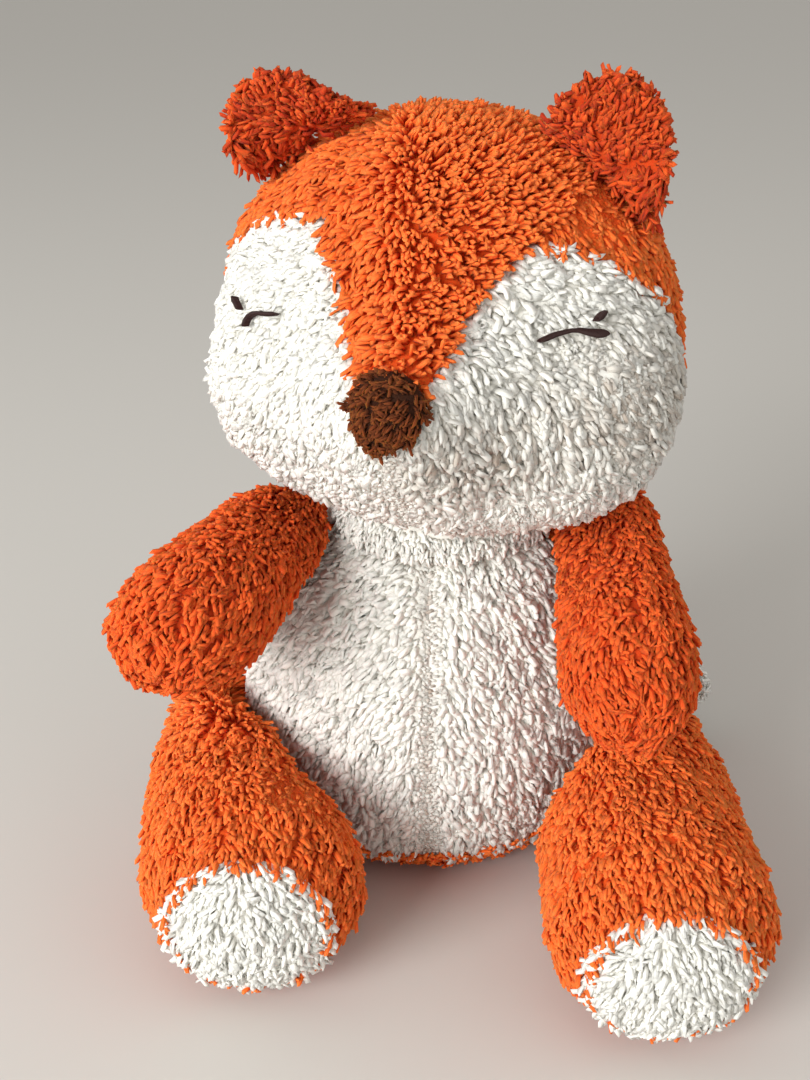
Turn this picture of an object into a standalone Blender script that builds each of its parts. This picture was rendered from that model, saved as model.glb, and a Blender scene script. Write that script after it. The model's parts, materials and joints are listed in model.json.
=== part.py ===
"""A seated plush fox: fleece panels sewn over fibre filling. Metres, +Z up, the fox faces -Y.

The origin is the middle of the flat seat. Left and right are the fox's own.
Each stuffed form is a smooth union of a few ellipsoids, drawn from a core point on rows that run
between two poles and columns that run round them. Panels are stretches of those rows and columns.
"""

import math

import bmesh
import bpy
import numpy as np
from mathutils import Euler, Matrix, Vector
from mathutils.bvhtree import BVHTree

for old in list(bpy.data.objects):
    bpy.data.objects.remove(old, do_unlink=True)

# Fleece, seams and fits
FLEECE_THICKNESS = 0.0042
SEAM_GAP = 0.0003
FILLING_GAP = 0.0004
SOCKET_CLEARANCE = 0.0010
LEFT_ARM_CLEARANCE = 0.0011
RIGHT_ARM_CLEARANCE = 0.0004
ARM_CUT_ROUNDNESS = 0.0020
LEFT_LEG_CLEARANCE = 0.0026
RIGHT_LEG_CLEARANCE = 0.0011
LEG_CUT_ROUNDNESS = 0.006
TAIL_CLEARANCE = 0.0007
TAIL_CUT_ROUNDNESS = 0.0012
BLEND_ROUNDNESS = 0.006
MEASURING_STEP = 0.0005
WELD_DISTANCE = 0.000001
POLE_WIDTH = 0.00001

# Head
HEAD_WIDTH = 0.171
HEAD_HEIGHT = 0.138
HEAD_DEPTH = 0.134
CHIN_RISE = 0.019
HEAD_ADVANCE = 0.010
HEAD_TURN = math.radians(-14)
HEAD_NOD = math.radians(2)
HEAD_TILT = math.radians(3)

# Nose, a patch sewn over the muzzle's end
NOSE_WIDTH = 0.0245
NOSE_THICKNESS = 0.005
NOSE_LIFT = 0.0004

# Neck
NECK_BALL_RADIUS = 0.042
NECK_UNDER_TOP = 0.025
NECK_RIM_UNDER_TOP = 0.010
NECK_ADVANCE = 0.004
NECK_SHIFT = 0.005

# Ears
EAR_WIDTH = 0.039
EAR_HEIGHT = 0.0285
EAR_THICKNESS = 0.012
EAR_HEM_THICKNESS = 0.0036
EAR_CUP_DEPTH = 0.009
EAR_SEAT_GAP = 0.0005
EAR_CORNER = math.radians(40)
EAR_SETBACK = math.radians(88)
LEFT_EAR_FOLD = math.radians(6)
RIGHT_EAR_FOLD = math.radians(28)
LEFT_EAR_SLANT = 0.006
RIGHT_EAR_SLANT = -0.003

# Body
BODY_WIDTH = 0.158
BODY_DEPTH = 0.126
BODY_HEIGHT = 0.140
BODY_LEAN = 0.005

# Arms
ARM_LENGTH = 0.096
ARM_WIDTH = 0.053
ARM_THICKNESS = 0.046
SHOULDER_UNDER_TOP = 0.012
SHOULDER_SPREAD = 0.056
SHOULDER_ADVANCE = 0.015
RIGHT_ARM_FORWARD = math.radians(67)
RIGHT_ARM_OUTWARD = math.radians(78)
LEFT_ARM_FORWARD = math.radians(69)
LEFT_ARM_OUTWARD = math.radians(2)

# Legs
LEFT_LEG_LENGTH = 0.146
RIGHT_LEG_LENGTH = 0.124
FOOT_WIDTH = 0.079
FOOT_HEIGHT = 0.070
HIP_HEIGHT = 0.050
HIP_SPREAD = 0.055
THIGH_BULGE = 0.007
THIGH_RISE = 0.004
LEFT_SOLE_SHIFT = -0.007
RIGHT_SOLE_SHIFT = 0.0
HIP_ADVANCE = 0.002
RIGHT_LEG_SPLAY = math.radians(1)
LEFT_LEG_SPLAY = math.radians(9)

# Tail
TAIL_LENGTH = 0.114
TAIL_THICKNESS = 0.042
TAIL_ROOT_SETBACK = 0.054
TAIL_ROOT_SIDEWAYS = 0.006
TAIL_ROOT_HEIGHT = 0.028
TAIL_TURN = math.radians(8)
TAIL_RISE = math.radians(-2)

# Embroidery
EYE_STITCH_WIDTH = 0.0026
EYE_STITCH_LIFT = 0.0004
LASH_STITCH_WIDTH = 0.0020

# How far each sewn-on piece swings, from its place in the photograph
LEG_SPREAD = math.radians(12)
LEG_CLOSE = math.radians(0.5)
LOOK_ASIDE = math.radians(12)
LOOK_UP = math.radians(8)
LOOK_DOWN = math.radians(2)
EAR_FOLD_BACK = math.radians(15)
EAR_FOLD_FORWARD = math.radians(2)
ARM_RAISE = math.radians(15)
RIGHT_ARM_DROP = math.radians(8)
LEFT_ARM_DROP = math.radians(3)
TAIL_SWING_IN = math.radians(2)
TAIL_SWING_OUT = math.radians(12)

SWING_SHARES = (0.0, 0.33, 0.67, 1.0)

# How finely shapes are drawn
BALL_SEGMENTS = 24
BALL_RINGS = 14
RAY_STEPS = 40
HALVINGS = 30
SHARP_ANGLE = math.radians(50)

# Colours, linear, and roughness
ORANGE = (0.83, 0.17, 0.03)
WHITE = (0.85, 0.82, 0.77)
BROWN = (0.12, 0.045, 0.02)
THREAD = (0.06, 0.02, 0.015)
FIBRE = (0.80, 0.80, 0.80)


def material(name, colour, roughness):
    surface = bpy.data.materials.new(name)
    surface.use_nodes = True
    shader = surface.node_tree.nodes["Principled BSDF"]
    shader.inputs["Base Color"].default_value = (*colour, 1.0)
    shader.inputs["Roughness"].default_value = roughness
    shader.inputs["Metallic"].default_value = 0.0
    surface.diffuse_color = (*colour, 1.0)
    return surface


def lengths(vectors):
    return np.linalg.norm(vectors, axis=-1, keepdims=True)


def to_unit(vectors):
    return vectors / lengths(vectors)


def safe_unit(vectors):
    """Unit vectors, or nearly nothing where the length is nearly nothing."""
    return vectors / np.maximum(lengths(vectors), WELD_DISTANCE)


class Form:
    """A stuffed form: lumps are (centre, radii) pairs, seen from a core point inside them.

    A floor flattens it. Keep_off gives the distance to a larger form that cuts it short.
    """

    def __init__(self, lumps, core, reach, floor=None, keep_off=None, clearance=0.0, cut_roundness=0.0):
        self.lumps = [(np.array(centre), np.array(radii)) for centre, radii in lumps]
        self.core = np.array(core)
        self.reach = reach
        self.floor = floor
        self.keep_off = keep_off
        self.clearance = clearance
        self.cut_roundness = cut_roundness

    def lump_depth(self, points):
        """Distance to the joined lumps, near enough, below zero inside."""
        single = []
        for centre, radii in self.lumps:
            offset = (points - centre) / radii
            scaled = lengths(offset)[..., 0]
            slope = lengths(offset / radii)[..., 0]
            single.append(scaled * (scaled - 1.0) / np.maximum(slope, WELD_DISTANCE))
        single = np.stack(single)
        least = single.min(axis=0)
        return least - BLEND_ROUNDNESS * np.log(np.exp((least - single) / BLEND_ROUNDNESS).sum(axis=0))

    def depth(self, points):
        """Distance to the form as it is cut short and flattened."""
        result = self.lump_depth(points)
        if self.keep_off is not None:
            inside = self.clearance - self.keep_off(points)
            result = (result + inside + np.sqrt((result - inside) ** 2 + self.cut_roundness ** 2)) / 2
        if self.floor is not None:
            result = np.maximum(result, self.floor - points[..., 2])
        return result

    def skin(self, directions, under=0.0):
        """The points that lie a given depth under the surface, along rays from the core."""
        step = self.reach / RAY_STEPS
        low = np.zeros(directions.shape[:-1])
        going = np.ones(low.shape, dtype=bool)
        for number in range(1, RAY_STEPS + 1):
            going &= self.depth(self.core + directions * step * number) < -under
            low = np.where(going, step * number, low)
        high = low + step
        for _halving in range(HALVINGS):
            middle = (low + high) / 2
            inside = self.depth(self.core + directions * middle[..., None]) < -under
            low = np.where(inside, middle, low)
            high = np.where(inside, high, middle)
        points = self.core + directions * low[..., None]
        if self.floor is not None:
            near = points[..., 2] < self.floor + under + WELD_DISTANCE
            points[..., 2] = np.where(near, self.floor + under, points[..., 2])
        return points

    def normals(self, points):
        slopes = []
        for axis in np.eye(3):
            step = axis * MEASURING_STEP
            slopes.append(self.depth(points + step) - self.depth(points - step))
        return to_unit(np.stack(slopes, axis=-1))


def grid_directions(rows, columns, pole, zero, stretch):
    """Directions for row angles from the pole and column angles from the zero side."""
    pole = np.array(pole, dtype=float)
    zero = np.array(zero, dtype=float)
    side = np.cross(pole, zero)
    rows, columns = np.broadcast_arrays(rows, columns)
    along = np.cos(rows)[..., None] * pole * stretch
    around = np.cos(columns)[..., None] * zero + np.sin(columns)[..., None] * side
    return to_unit(along + np.sin(rows)[..., None] * around)


def pole_row(pole, zero, columns):
    """One row of equal directions, straight at the pole."""
    return np.repeat(grid_directions(0.0, 0.0, pole, zero, 1.0)[None, None], columns, axis=1)


def is_pole(line):
    return lengths(line - line[0]).max() < POLE_WIDTH


def drawn_in(grid, closed_round):
    """The grid with its open edges drawn in by half a seam gap."""
    half = SEAM_GAP / 2
    points = grid.copy()
    if not closed_round:
        points[:, 0] += half * safe_unit(grid[:, 1] - grid[:, 0])
        points[:, -1] += half * safe_unit(grid[:, -2] - grid[:, -1])
    for edge, inner in ((0, 1), (-1, -2)):
        if not is_pole(grid[edge]):
            points[edge] += half * safe_unit(grid[inner] - grid[edge])
        elif closed_round:
            points[edge] = grid[edge]
        else:
            middle = grid.shape[1] // 2
            points[edge] = grid[edge][0] + SEAM_GAP * safe_unit(grid[inner][middle] - grid[edge][0])
    return points


def new_object(name, mesh, surface, parent):
    made = bpy.data.objects.new(name, mesh)
    bpy.context.scene.collection.objects.link(made)
    mesh.materials.append(surface)
    made.parent = parent
    mesh.shade_smooth()
    mesh.set_sharp_from_angle(angle=SHARP_ANGLE)
    return made


def mesh_from(name, points, faces):
    """A closed mesh with its faces pointing out."""
    work = bmesh.new()
    corners = [work.verts.new(point) for point in points]
    for face in faces:
        distinct = list(dict.fromkeys(face))
        if len(distinct) > 2:
            work.faces.new([corners[index] for index in distinct])
    bmesh.ops.delete(work, geom=[corner for corner in work.verts if not corner.link_faces], context="VERTS")
    bmesh.ops.remove_doubles(work, verts=work.verts, dist=WELD_DISTANCE)
    bmesh.ops.recalc_face_normals(work, faces=work.faces)
    mesh = bpy.data.meshes.new(name)
    work.to_mesh(mesh)
    work.free()
    return mesh


def sheet_faces(index, closed_round, flipped):
    """Triangles over a grid of point numbers, all split the same way so that stacked sheets stay apart."""
    rows, columns = index.shape
    faces = []
    for row in range(rows - 1):
        for column in range(columns if closed_round else columns - 1):
            following = (column + 1) % columns
            near, far = index[row, column], index[row + 1, following]
            for half in ([near, index[row + 1, column], far], [near, far, index[row, following]]):
                faces.append(half[::-1] if flipped else half)
    return faces


def shell(name, outer, inner, closed_round, surface, parent):
    """A panel: an outer and an inner sheet joined round their edges."""
    rows, columns = outer.shape[:2]
    count = rows * columns
    top = np.arange(count).reshape(rows, columns)
    under = top + count
    for row in (0, rows - 1):
        if is_pole(outer[row]):
            top[row] = top[row, 0]
            under[row] = under[row, 0]
    faces = sheet_faces(top, closed_round, False) + sheet_faces(under, closed_round, True)
    edges = []
    if not is_pole(outer[0]):
        edges.append((top[0], under[0]))
    if not is_pole(outer[-1]):
        edges.append((top[-1], under[-1]))
    for over, below in edges:
        for column in range(columns if closed_round else columns - 1):
            following = (column + 1) % columns
            faces.append([over[column], over[following], below[following], below[column]])
    if not closed_round:
        for over, below in ((top[:, 0], under[:, 0]), (top[:, -1], under[:, -1])):
            for row in range(rows - 1):
                faces.append([over[row], over[row + 1], below[row + 1], below[row]])
    points = np.concatenate([outer.reshape(-1, 3), inner.reshape(-1, 3)])
    return new_object(name, mesh_from(name, as_vectors(points), faces), surface, parent)


def as_vectors(points):
    return [Vector(point) for point in points]


def panel(name, form, directions, rows, columns, surface, parent, thickness=FLEECE_THICKNESS):
    """A fleece panel between two rows and two columns of a form's grid; columns may pass zero."""
    count = directions.shape[1]
    closed_round = columns[1] - columns[0] == count
    last = columns[1] if closed_round else columns[1] + 1
    around = [column % count for column in range(columns[0], last)]
    part = directions[rows[0]:rows[1] + 1][:, around]
    outer = drawn_in(form.skin(part), closed_round)
    inner = drawn_in(form.skin(part, thickness), closed_round)
    return shell(name, outer, inner, closed_round, surface, parent)


def larger_distance(place, turn, swings, with_head=False):
    """Distance from the body, and the head and neck if asked, for points in a frame at a place.

    It is the least distance over all the swings of that frame, and over the head's own poses.
    """
    rest = np.array(Euler(turn).to_matrix())
    pivot = np.array(place)

    def distance(points):
        found = []
        for swing in swings:
            world = pivot + points @ rest.T @ swing.T
            found.append(body_form.lump_depth(world))
            if with_head:
                found.append(lengths(world - neck_point)[..., 0] - NECK_BALL_RADIUS)
                found += [head_form.lump_depth((world - neck_point) @ pose) for pose in head_poses]
        return np.min(found, axis=0)

    return distance


def swings_about(axis, angles):
    return [np.array(Matrix.Rotation(angle, 3, axis)) for angle in angles]


def closed_faces(rows, columns):
    """Faces of a grid that closes round and comes to a point at both ends."""
    index = np.arange((rows + 1) * columns).reshape(rows + 1, columns)
    index[0] = index[0, 0]
    index[-1] = index[-1, 0]
    return sheet_faces(index, True, False)


def filling(name, form, directions, surface, parent):
    """The fibre filling, a closed body inside the panels."""
    points = form.skin(directions, FLEECE_THICKNESS + FILLING_GAP)
    rows, columns = points.shape[:2]
    mesh = mesh_from(name, as_vectors(points.reshape(-1, 3)), closed_faces(rows - 1, columns))
    return new_object(name, mesh, surface, parent)


def empty(name, place, turn=(0.0, 0.0, 0.0), parent=None):
    made = bpy.data.objects.new(name, None)
    bpy.context.scene.collection.objects.link(made)
    made.location = place
    made.rotation_euler = Euler(turn)
    made.parent = parent
    return made


def as_cutter(made, place, parent=None):
    bpy.context.scene.collection.objects.link(made)
    made.location = place
    made.parent = parent
    made.hide_render = True
    made.display_type = "WIRE"
    return made


def ball_mesh(name, radius):
    mesh = bpy.data.meshes.new(name)
    work = bmesh.new()
    bmesh.ops.create_uvsphere(work, u_segments=BALL_SEGMENTS, v_segments=BALL_RINGS, radius=radius)
    work.to_mesh(mesh)
    work.free()
    return mesh


def drum_mesh(name, radius, height):
    """A drum that stands on its own origin."""
    mesh = bpy.data.meshes.new(name)
    work = bmesh.new()
    bmesh.ops.create_cone(
        work, cap_ends=True, segments=BALL_SEGMENTS, radius1=radius, radius2=radius, depth=height)
    bmesh.ops.translate(work, verts=work.verts, vec=(0.0, 0.0, height / 2))
    work.to_mesh(mesh)
    work.free()
    return mesh


def cut(node, cutter):
    modifier = node.modifiers.new(cutter.name, "BOOLEAN")
    modifier.operation = "DIFFERENCE"
    modifier.solver = "EXACT"
    modifier.object = cutter


orange = material("orange_fleece", ORANGE, 0.95)
white = material("white_fleece", WHITE, 0.95)
brown = material("brown_pile", BROWN, 0.9)
thread = material("eye_thread", THREAD, 0.5)
fibre = material("polyester_fibre", FIBRE, 1.0)


# Head
neck_point = np.array((NECK_SHIFT, -NECK_ADVANCE, BODY_HEIGHT - NECK_UNDER_TOP))
head_turn = empty("head_turn", neck_point, (0.0, 0.0, HEAD_TURN))
head = empty("head", (0.0, 0.0, 0.0), (HEAD_NOD, HEAD_TILT, 0.0), head_turn)
head_rest = np.array(Euler((HEAD_NOD, HEAD_TILT, 0.0)).to_matrix())
head_poses = [
    turned @ nodded @ head_rest
    for turned in swings_about("Z", (HEAD_TURN - LOOK_ASIDE, HEAD_TURN, HEAD_TURN + LOOK_ASIDE))
    for nodded in swings_about("X", (-LOOK_UP, 0.0, LOOK_DOWN))
]

half_width = HEAD_WIDTH / 2
half_height = HEAD_HEIGHT / 2
half_depth = HEAD_DEPTH / 2
head_middle = np.array((0.0, -HEAD_ADVANCE, CHIN_RISE + half_height))

# Skull, left cheek, right cheek, muzzle and chin: place and half size, across, forward and up
HEAD_PLACE_SHARES = (
    (-0.03, -0.12, 0.12), (0.44, 0.14, -0.28), (-0.44, 0.14, -0.28), (0.0, 0.62, -0.14), (0.0, 0.22, -0.52))
HEAD_SIZE_SHARES = (
    (0.88, 0.84, 0.84), (0.50, 0.64, 0.60), (0.50, 0.64, 0.60), (0.36, 0.62, 0.42), (0.55, 0.58, 0.42))

head_lumps = []
for (across, forward, up), size_shares in zip(HEAD_PLACE_SHARES, HEAD_SIZE_SHARES):
    offset = np.array((across * half_width, -forward * half_depth, up * half_height))
    head_lumps.append((head_middle + offset, np.array(size_shares) * (half_width, half_depth, half_height)))
head_form = Form(head_lumps, head_middle, HEAD_WIDTH)

# Head seams: how far the gusset reaches to each side along the rows, and the cheek's end round the columns
HEAD_ROWS_FACE = 6
HEAD_ROWS_BACK = 8
GUSSET_COLUMNS = 3
SIDE_COLUMNS = 9
NOSE_RING = math.radians(7)
GUSSET_ROW_ANGLES = np.radians((0, 9, 18, 30, 45, 60, 90, 180))
RIGHT_GUSSET_ANGLES = np.radians((64, 63, 57, 48, 43, 40, 38, 38))
LEFT_GUSSET_ANGLES = np.radians((64, 58, 44, 34, 34, 38, 38, 38))
CHEEK_COLUMN_ANGLES = np.radians((0, 38, 62, 90, 130, 180))
CHEEK_END_ANGLES = np.radians((55, 56, 75, 94, 106, 102))


def half_head_columns(row_angle, gusset_angles):
    """Column angles of one row from the top round one side to the bottom."""
    side = np.interp(row_angle, GUSSET_ROW_ANGLES, gusset_angles)
    top_shares = np.linspace(0, 1, GUSSET_COLUMNS + 1)
    side_shares = np.linspace(0, 1, SIDE_COLUMNS + 1)[1:]
    return np.concatenate([top_shares * side, side + side_shares * (math.pi - side)])


def head_columns(row_angle):
    """Column angles of one row, down the right side and up the left."""
    right = half_head_columns(row_angle, RIGHT_GUSSET_ANGLES)
    left = 2 * math.pi - half_head_columns(row_angle, LEFT_GUSSET_ANGLES)
    return np.concatenate([right, left[-2:0:-1]])


def head_rows(row):
    """Row angles along one grid row, which bends so that it ends where the cheek ends."""
    columns = head_columns(0.0) if row == 0 else head_row_columns[row - 1]
    spread = np.minimum(columns, 2 * math.pi - columns)
    cheek_end = np.interp(spread, CHEEK_COLUMN_ANGLES, CHEEK_END_ANGLES)
    if row <= HEAD_ROWS_FACE:
        return NOSE_RING + (cheek_end - NOSE_RING) * row / HEAD_ROWS_FACE
    return cheek_end + (math.pi - cheek_end) * (row - HEAD_ROWS_FACE) / HEAD_ROWS_BACK


head_row_columns = []
head_row_angles = []
for head_row in range(HEAD_ROWS_FACE + HEAD_ROWS_BACK + 1):
    angles = head_rows(head_row)
    head_row_columns.append(head_columns(angles[GUSSET_COLUMNS]))
    head_row_angles.append(angles)
head_grid = grid_directions(
    np.array(head_row_angles), np.array(head_row_columns), (0, -1, 0), (0, 0, 1), 1.0)

LAST_HEAD_ROW = HEAD_ROWS_FACE + HEAD_ROWS_BACK
BOTTOM_COLUMN = GUSSET_COLUMNS + SIDE_COLUMNS
ALL_HEAD_COLUMNS = 2 * BOTTOM_COLUMN

# The nose ring closes at the muzzle's end under the nose, so the filling starts at a pole there
filling_grid = np.concatenate([pole_row((0, -1, 0), (0, 0, 1), ALL_HEAD_COLUMNS), head_grid])

head_stuffing = filling("head_stuffing", head_form, filling_grid, fibre, head)
forehead_span = (-GUSSET_COLUMNS, GUSSET_COLUMNS)
panel("forehead_panel", head_form, head_grid, (0, LAST_HEAD_ROW), forehead_span, orange, head)
head_sides = {}
for side_name, first in (("right", GUSSET_COLUMNS), ("left", BOTTOM_COLUMN)):
    span = (first, first + SIDE_COLUMNS)
    face_rows = (0, HEAD_ROWS_FACE)
    back_rows = (HEAD_ROWS_FACE, LAST_HEAD_ROW)
    head_sides[side_name + "_cheek"] = panel(
        side_name + "_cheek_panel", head_form, head_grid, face_rows, span, white, head)
    head_sides[side_name + "_back"] = panel(
        side_name + "_head_back_panel", head_form, head_grid, back_rows, span, orange, head)


# Nose: round at the top, drawn to a point at the bottom
NOSE_COLUMNS = 12
NOSE_RING_SHARES = (0.0, 0.45, 0.78, 1.0)
NOSE_COLUMN_ANGLES = np.radians((0, 90, 140, 180, 220, 270, 360))
NOSE_OUTLINE_SHARES = (0.94, 1.0, 0.84, 0.88, 0.84, 1.0, 0.94)
NOSE_FALL_SHARE = 0.88
muzzle_reach = float(lengths(head_form.skin(pole_row((0, -1, 0), (0, 0, 1), 1)) - head_middle)[0, 0, 0])


def nose_sheet(padding):
    """Points over the muzzle's end, lifted by the nose's padding in the middle."""
    columns = (np.arange(NOSE_COLUMNS) * 2 * math.pi / NOSE_COLUMNS)[None]
    outline = np.interp(columns, NOSE_COLUMN_ANGLES, NOSE_OUTLINE_SHARES) * NOSE_WIDTH / 2
    shares = np.array(NOSE_RING_SHARES)[:, None]
    rows = np.arctan(shares * outline / muzzle_reach)
    directions = grid_directions(rows, columns, (0, -1, 0), (0, 0, 1), 1.0)
    outside = head_form.skin(directions)
    swell = np.sqrt(1.0 - NOSE_FALL_SHARE * shares ** 2)[..., None]
    return outside + head_form.normals(outside) * (NOSE_LIFT + padding * swell)


shell("nose", nose_sheet(NOSE_THICKNESS), nose_sheet(0.0), True, brown, head)


# Eyes: satin stitch laid on the cheeks, as angles across and up from the middle of the head
EYE_POINTS = 9
LASH_POINTS = 4
EYE_CORNER_SHARES = (0.0, 0.28, 0.58, 0.80, 1.0)
LEFT_EYE_ACROSS = np.radians((38.5, 43.5, 48.5, 52.5, 56.5))
LEFT_EYE_UP = np.radians((13, 14.5, 15, 13.5, 12.5))
RIGHT_EYE_ACROSS = np.radians((45, 48, 52, 54, 53))
RIGHT_EYE_UP = np.radians((10, 9, 8, 6, 4))
LASH_END_SHARES = (0.0, 1.0)
LEFT_LASH_ACROSS = np.radians((55, 58))
LEFT_LASH_UP = np.radians((16.5, 18))
RIGHT_LASH_ACROSS = np.radians((58, 61))
RIGHT_LASH_UP = np.radians((7, 9))
STITCH_SIDES = 6
STITCH_TAPER_SHARE = 0.75


def on_cheek(cheek, across, up, lift):
    """Points over a cheek panel's own flat faces."""
    directions = np.stack([np.sin(across) * np.cos(up), -np.cos(across) * np.cos(up), np.sin(up)], axis=-1)
    tree = BVHTree.FromPolygons([corner.co for corner in cheek.data.vertices],
                                [tuple(face.vertices) for face in cheek.data.polygons])
    hits = [tree.ray_cast(Vector(head_middle + direction * HEAD_WIDTH), Vector(-direction))[0]
            for direction in directions]
    outside = np.array(hits)
    return outside + head_form.normals(outside) * lift


def stitch(name, cheek, corner_shares, across, up, width, count):
    """A round-backed bar of thread that follows the cheek through its corners."""
    shares = np.linspace(0, 1, count)
    middle = on_cheek(cheek, np.interp(shares, corner_shares, across), np.interp(shares, corner_shares, up),
                      EYE_STITCH_LIFT + width / 2)
    along = safe_unit(np.gradient(middle, axis=0))
    outward = head_form.normals(middle)
    across_bar = safe_unit(np.cross(along, outward))
    outward = np.cross(across_bar, along)
    turns = (np.arange(STITCH_SIDES) + 0.5) * 2 * math.pi / STITCH_SIDES
    taper = np.sqrt(1.0 - STITCH_TAPER_SHARE * (2.0 * shares - 1.0) ** 4)[:, None, None]
    sideways = np.cos(turns)[None, :, None] * across_bar[:, None]
    upwards = np.sin(turns)[None, :, None] * outward[:, None]
    points = middle[:, None] + (sideways + upwards) * taper * width / 2
    index = np.arange(count * STITCH_SIDES).reshape(count, STITCH_SIDES)
    faces = sheet_faces(index, True, False) + [list(index[0]), list(index[-1])]
    return new_object(name, mesh_from(name, as_vectors(points.reshape(-1, 3)), faces), thread, head)


eyes = (
    ("left", 1, LEFT_EYE_ACROSS, LEFT_EYE_UP, LEFT_LASH_ACROSS, LEFT_LASH_UP),
    ("right", -1, RIGHT_EYE_ACROSS, RIGHT_EYE_UP, RIGHT_LASH_ACROSS, RIGHT_LASH_UP),
)
for side_name, side, arc_across, arc_up, lash_across, lash_up in eyes:
    eye_cheek = head_sides[side_name + "_cheek"]
    stitch(side_name + "_eye_arc", eye_cheek, EYE_CORNER_SHARES, side * arc_across, arc_up,
           EYE_STITCH_WIDTH, EYE_POINTS)
    stitch(side_name + "_eye_lash", eye_cheek, LASH_END_SHARES, side * lash_across, lash_up,
           LASH_STITCH_WIDTH, LASH_POINTS)


# Ears: two layers each, cupped forward, their bases following the head
EAR_HEIGHT_SHARES = (0.0, 0.24, 0.50, 0.74, 0.91, 1.0)
EAR_WIDTH_SHARES = (0.98, 1.0, 0.95, 0.79, 0.52, 0.0)
EAR_COLUMN_SHARES = (-1.0, -0.8, -0.42, 0.0, 0.42, 0.8, 1.0)
EAR_PUFF_POWER = 0.7
EAR_CUP_SHARE = 0.8
EAR_RISE_LIMIT_SHARE = 0.25


def build_ear(side_name, side, slant, fold):
    """The ear stands up its own +Z, its base along X, and folds about that base."""
    direction = grid_directions(EAR_SETBACK, -side * EAR_CORNER, (0, -1, 0), (0, 0, 1), 1.0)[None]
    foot = head_form.skin(direction)
    outward = Vector(head_form.normals(foot)[0])
    backward = outward.cross(Vector((math.cos(EAR_CORNER), 0.0, -side * math.sin(EAR_CORNER)))).normalized()
    along = backward.cross(outward)
    turn = Matrix((along, backward, outward)).transposed() @ Euler((fold, 0.0, 0.0)).to_matrix()
    origin = foot[0] + np.array(outward) * EAR_SEAT_GAP
    frame = empty(side_name + "_ear", origin, turn.to_euler(), head)
    axes = np.array(turn)

    def seat(across):
        """How far under the base line the head's surface lies, less the seat gap."""
        low = np.full(across.shape, -EAR_HEIGHT)
        high = np.full(across.shape, EAR_HEIGHT * EAR_RISE_LIMIT_SHARE)
        for _halving in range(HALVINGS):
            middle = (low + high) / 2
            edges = []
            for edge in (-EAR_HEM_THICKNESS / 2, EAR_HEM_THICKNESS / 2):
                local = np.stack([across, np.full(across.shape, edge), middle], axis=-1)
                edges.append(head_form.depth(origin + local @ axes.T))
            clear = np.min(edges, axis=0) > EAR_SEAT_GAP
            high = np.where(clear, middle, high)
            low = np.where(clear, low, middle)
        return high

    shares = np.array(EAR_HEIGHT_SHARES)[:, None]
    columns = np.array(EAR_COLUMN_SHARES)[None]
    across = np.array(EAR_WIDTH_SHARES)[:, None] * columns * EAR_WIDTH / 2 - side * slant * shares
    base = seat(columns * EAR_WIDTH / 2)
    up = base * (1.0 - shares) + EAR_HEIGHT * shares
    puff = np.sin(math.pi * shares).clip(0.0) ** EAR_PUFF_POWER * (1.0 - columns ** 2)
    half = EAR_HEM_THICKNESS / 2 + (EAR_THICKNESS - EAR_HEM_THICKNESS) / 2 * puff
    half_across = np.array(EAR_WIDTH_SHARES)[:, None] * columns
    middle = -EAR_CUP_DEPTH * half_across ** 2 * np.sin(math.pi * shares * EAR_CUP_SHARE)
    for part_name, facing in (("front", -1), ("back", 1)):
        outer = np.stack([across, middle + facing * half, up], axis=-1)
        inner = np.stack([across, middle + facing * SEAM_GAP / 2, up], axis=-1)
        shell(side_name + "_ear_" + part_name + "_panel", outer, inner, False, orange, frame)
    return frame


left_ear = build_ear("left", 1, LEFT_EAR_SLANT, LEFT_EAR_FOLD)
right_ear = build_ear("right", -1, RIGHT_EAR_SLANT, RIGHT_EAR_FOLD)


# Body: seat, belly and chest, with their places forward and up and their half sizes across, forward and up
BODY_PLACE_SHARES = ((0.07, 0.33), (0.06, 0.56), (0.04, 0.76))
BODY_SIZE_SHARES = ((0.93, 0.98, 0.43), (0.90, 0.88, 0.36), (0.68, 0.70, 0.25))
BODY_CORE_SHARE = 0.48

body_lumps = []
for lean, (forward, up), size_shares in zip((0.0, 0.0, BODY_LEAN), BODY_PLACE_SHARES, BODY_SIZE_SHARES):
    centre = (lean, -forward * BODY_DEPTH / 2, up * BODY_HEIGHT)
    body_lumps.append((centre, np.array(size_shares) * (BODY_WIDTH / 2, BODY_DEPTH / 2, BODY_HEIGHT)))
body_core = (0.0, 0.0, BODY_CORE_SHARE * BODY_HEIGHT)
body_form = Form(body_lumps, body_core, BODY_HEIGHT * 2, floor=0.0)

BODY_ROWS_SIDE = 9
BODY_ROWS_SEAT = 4
BELLY_COLUMNS = 5
BACK_COLUMNS = 7
NECK_RING = math.radians(14)
BELLY_ROW_ANGLES = np.radians((0, 25, 60, 95, 125, 180))
BELLY_SIDE_ANGLES = np.radians((60, 62, 67, 67, 50, 36))
SEAT_COLUMN_ANGLES = np.radians((0, 40, 90, 180))
SEAT_EDGE_ANGLES = np.radians((134, 130, 128, 132))


def body_columns(row_angle):
    side = np.interp(row_angle, BELLY_ROW_ANGLES, BELLY_SIDE_ANGLES)
    front_shares = np.linspace(0, 1, BELLY_COLUMNS + 1)
    back_shares = np.linspace(0, 1, BACK_COLUMNS + 1)[1:]
    left = np.concatenate([front_shares * side, side + back_shares * (math.pi - side)])
    right = 2 * math.pi - left[-2:0:-1]
    return np.concatenate([left, right])


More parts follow.
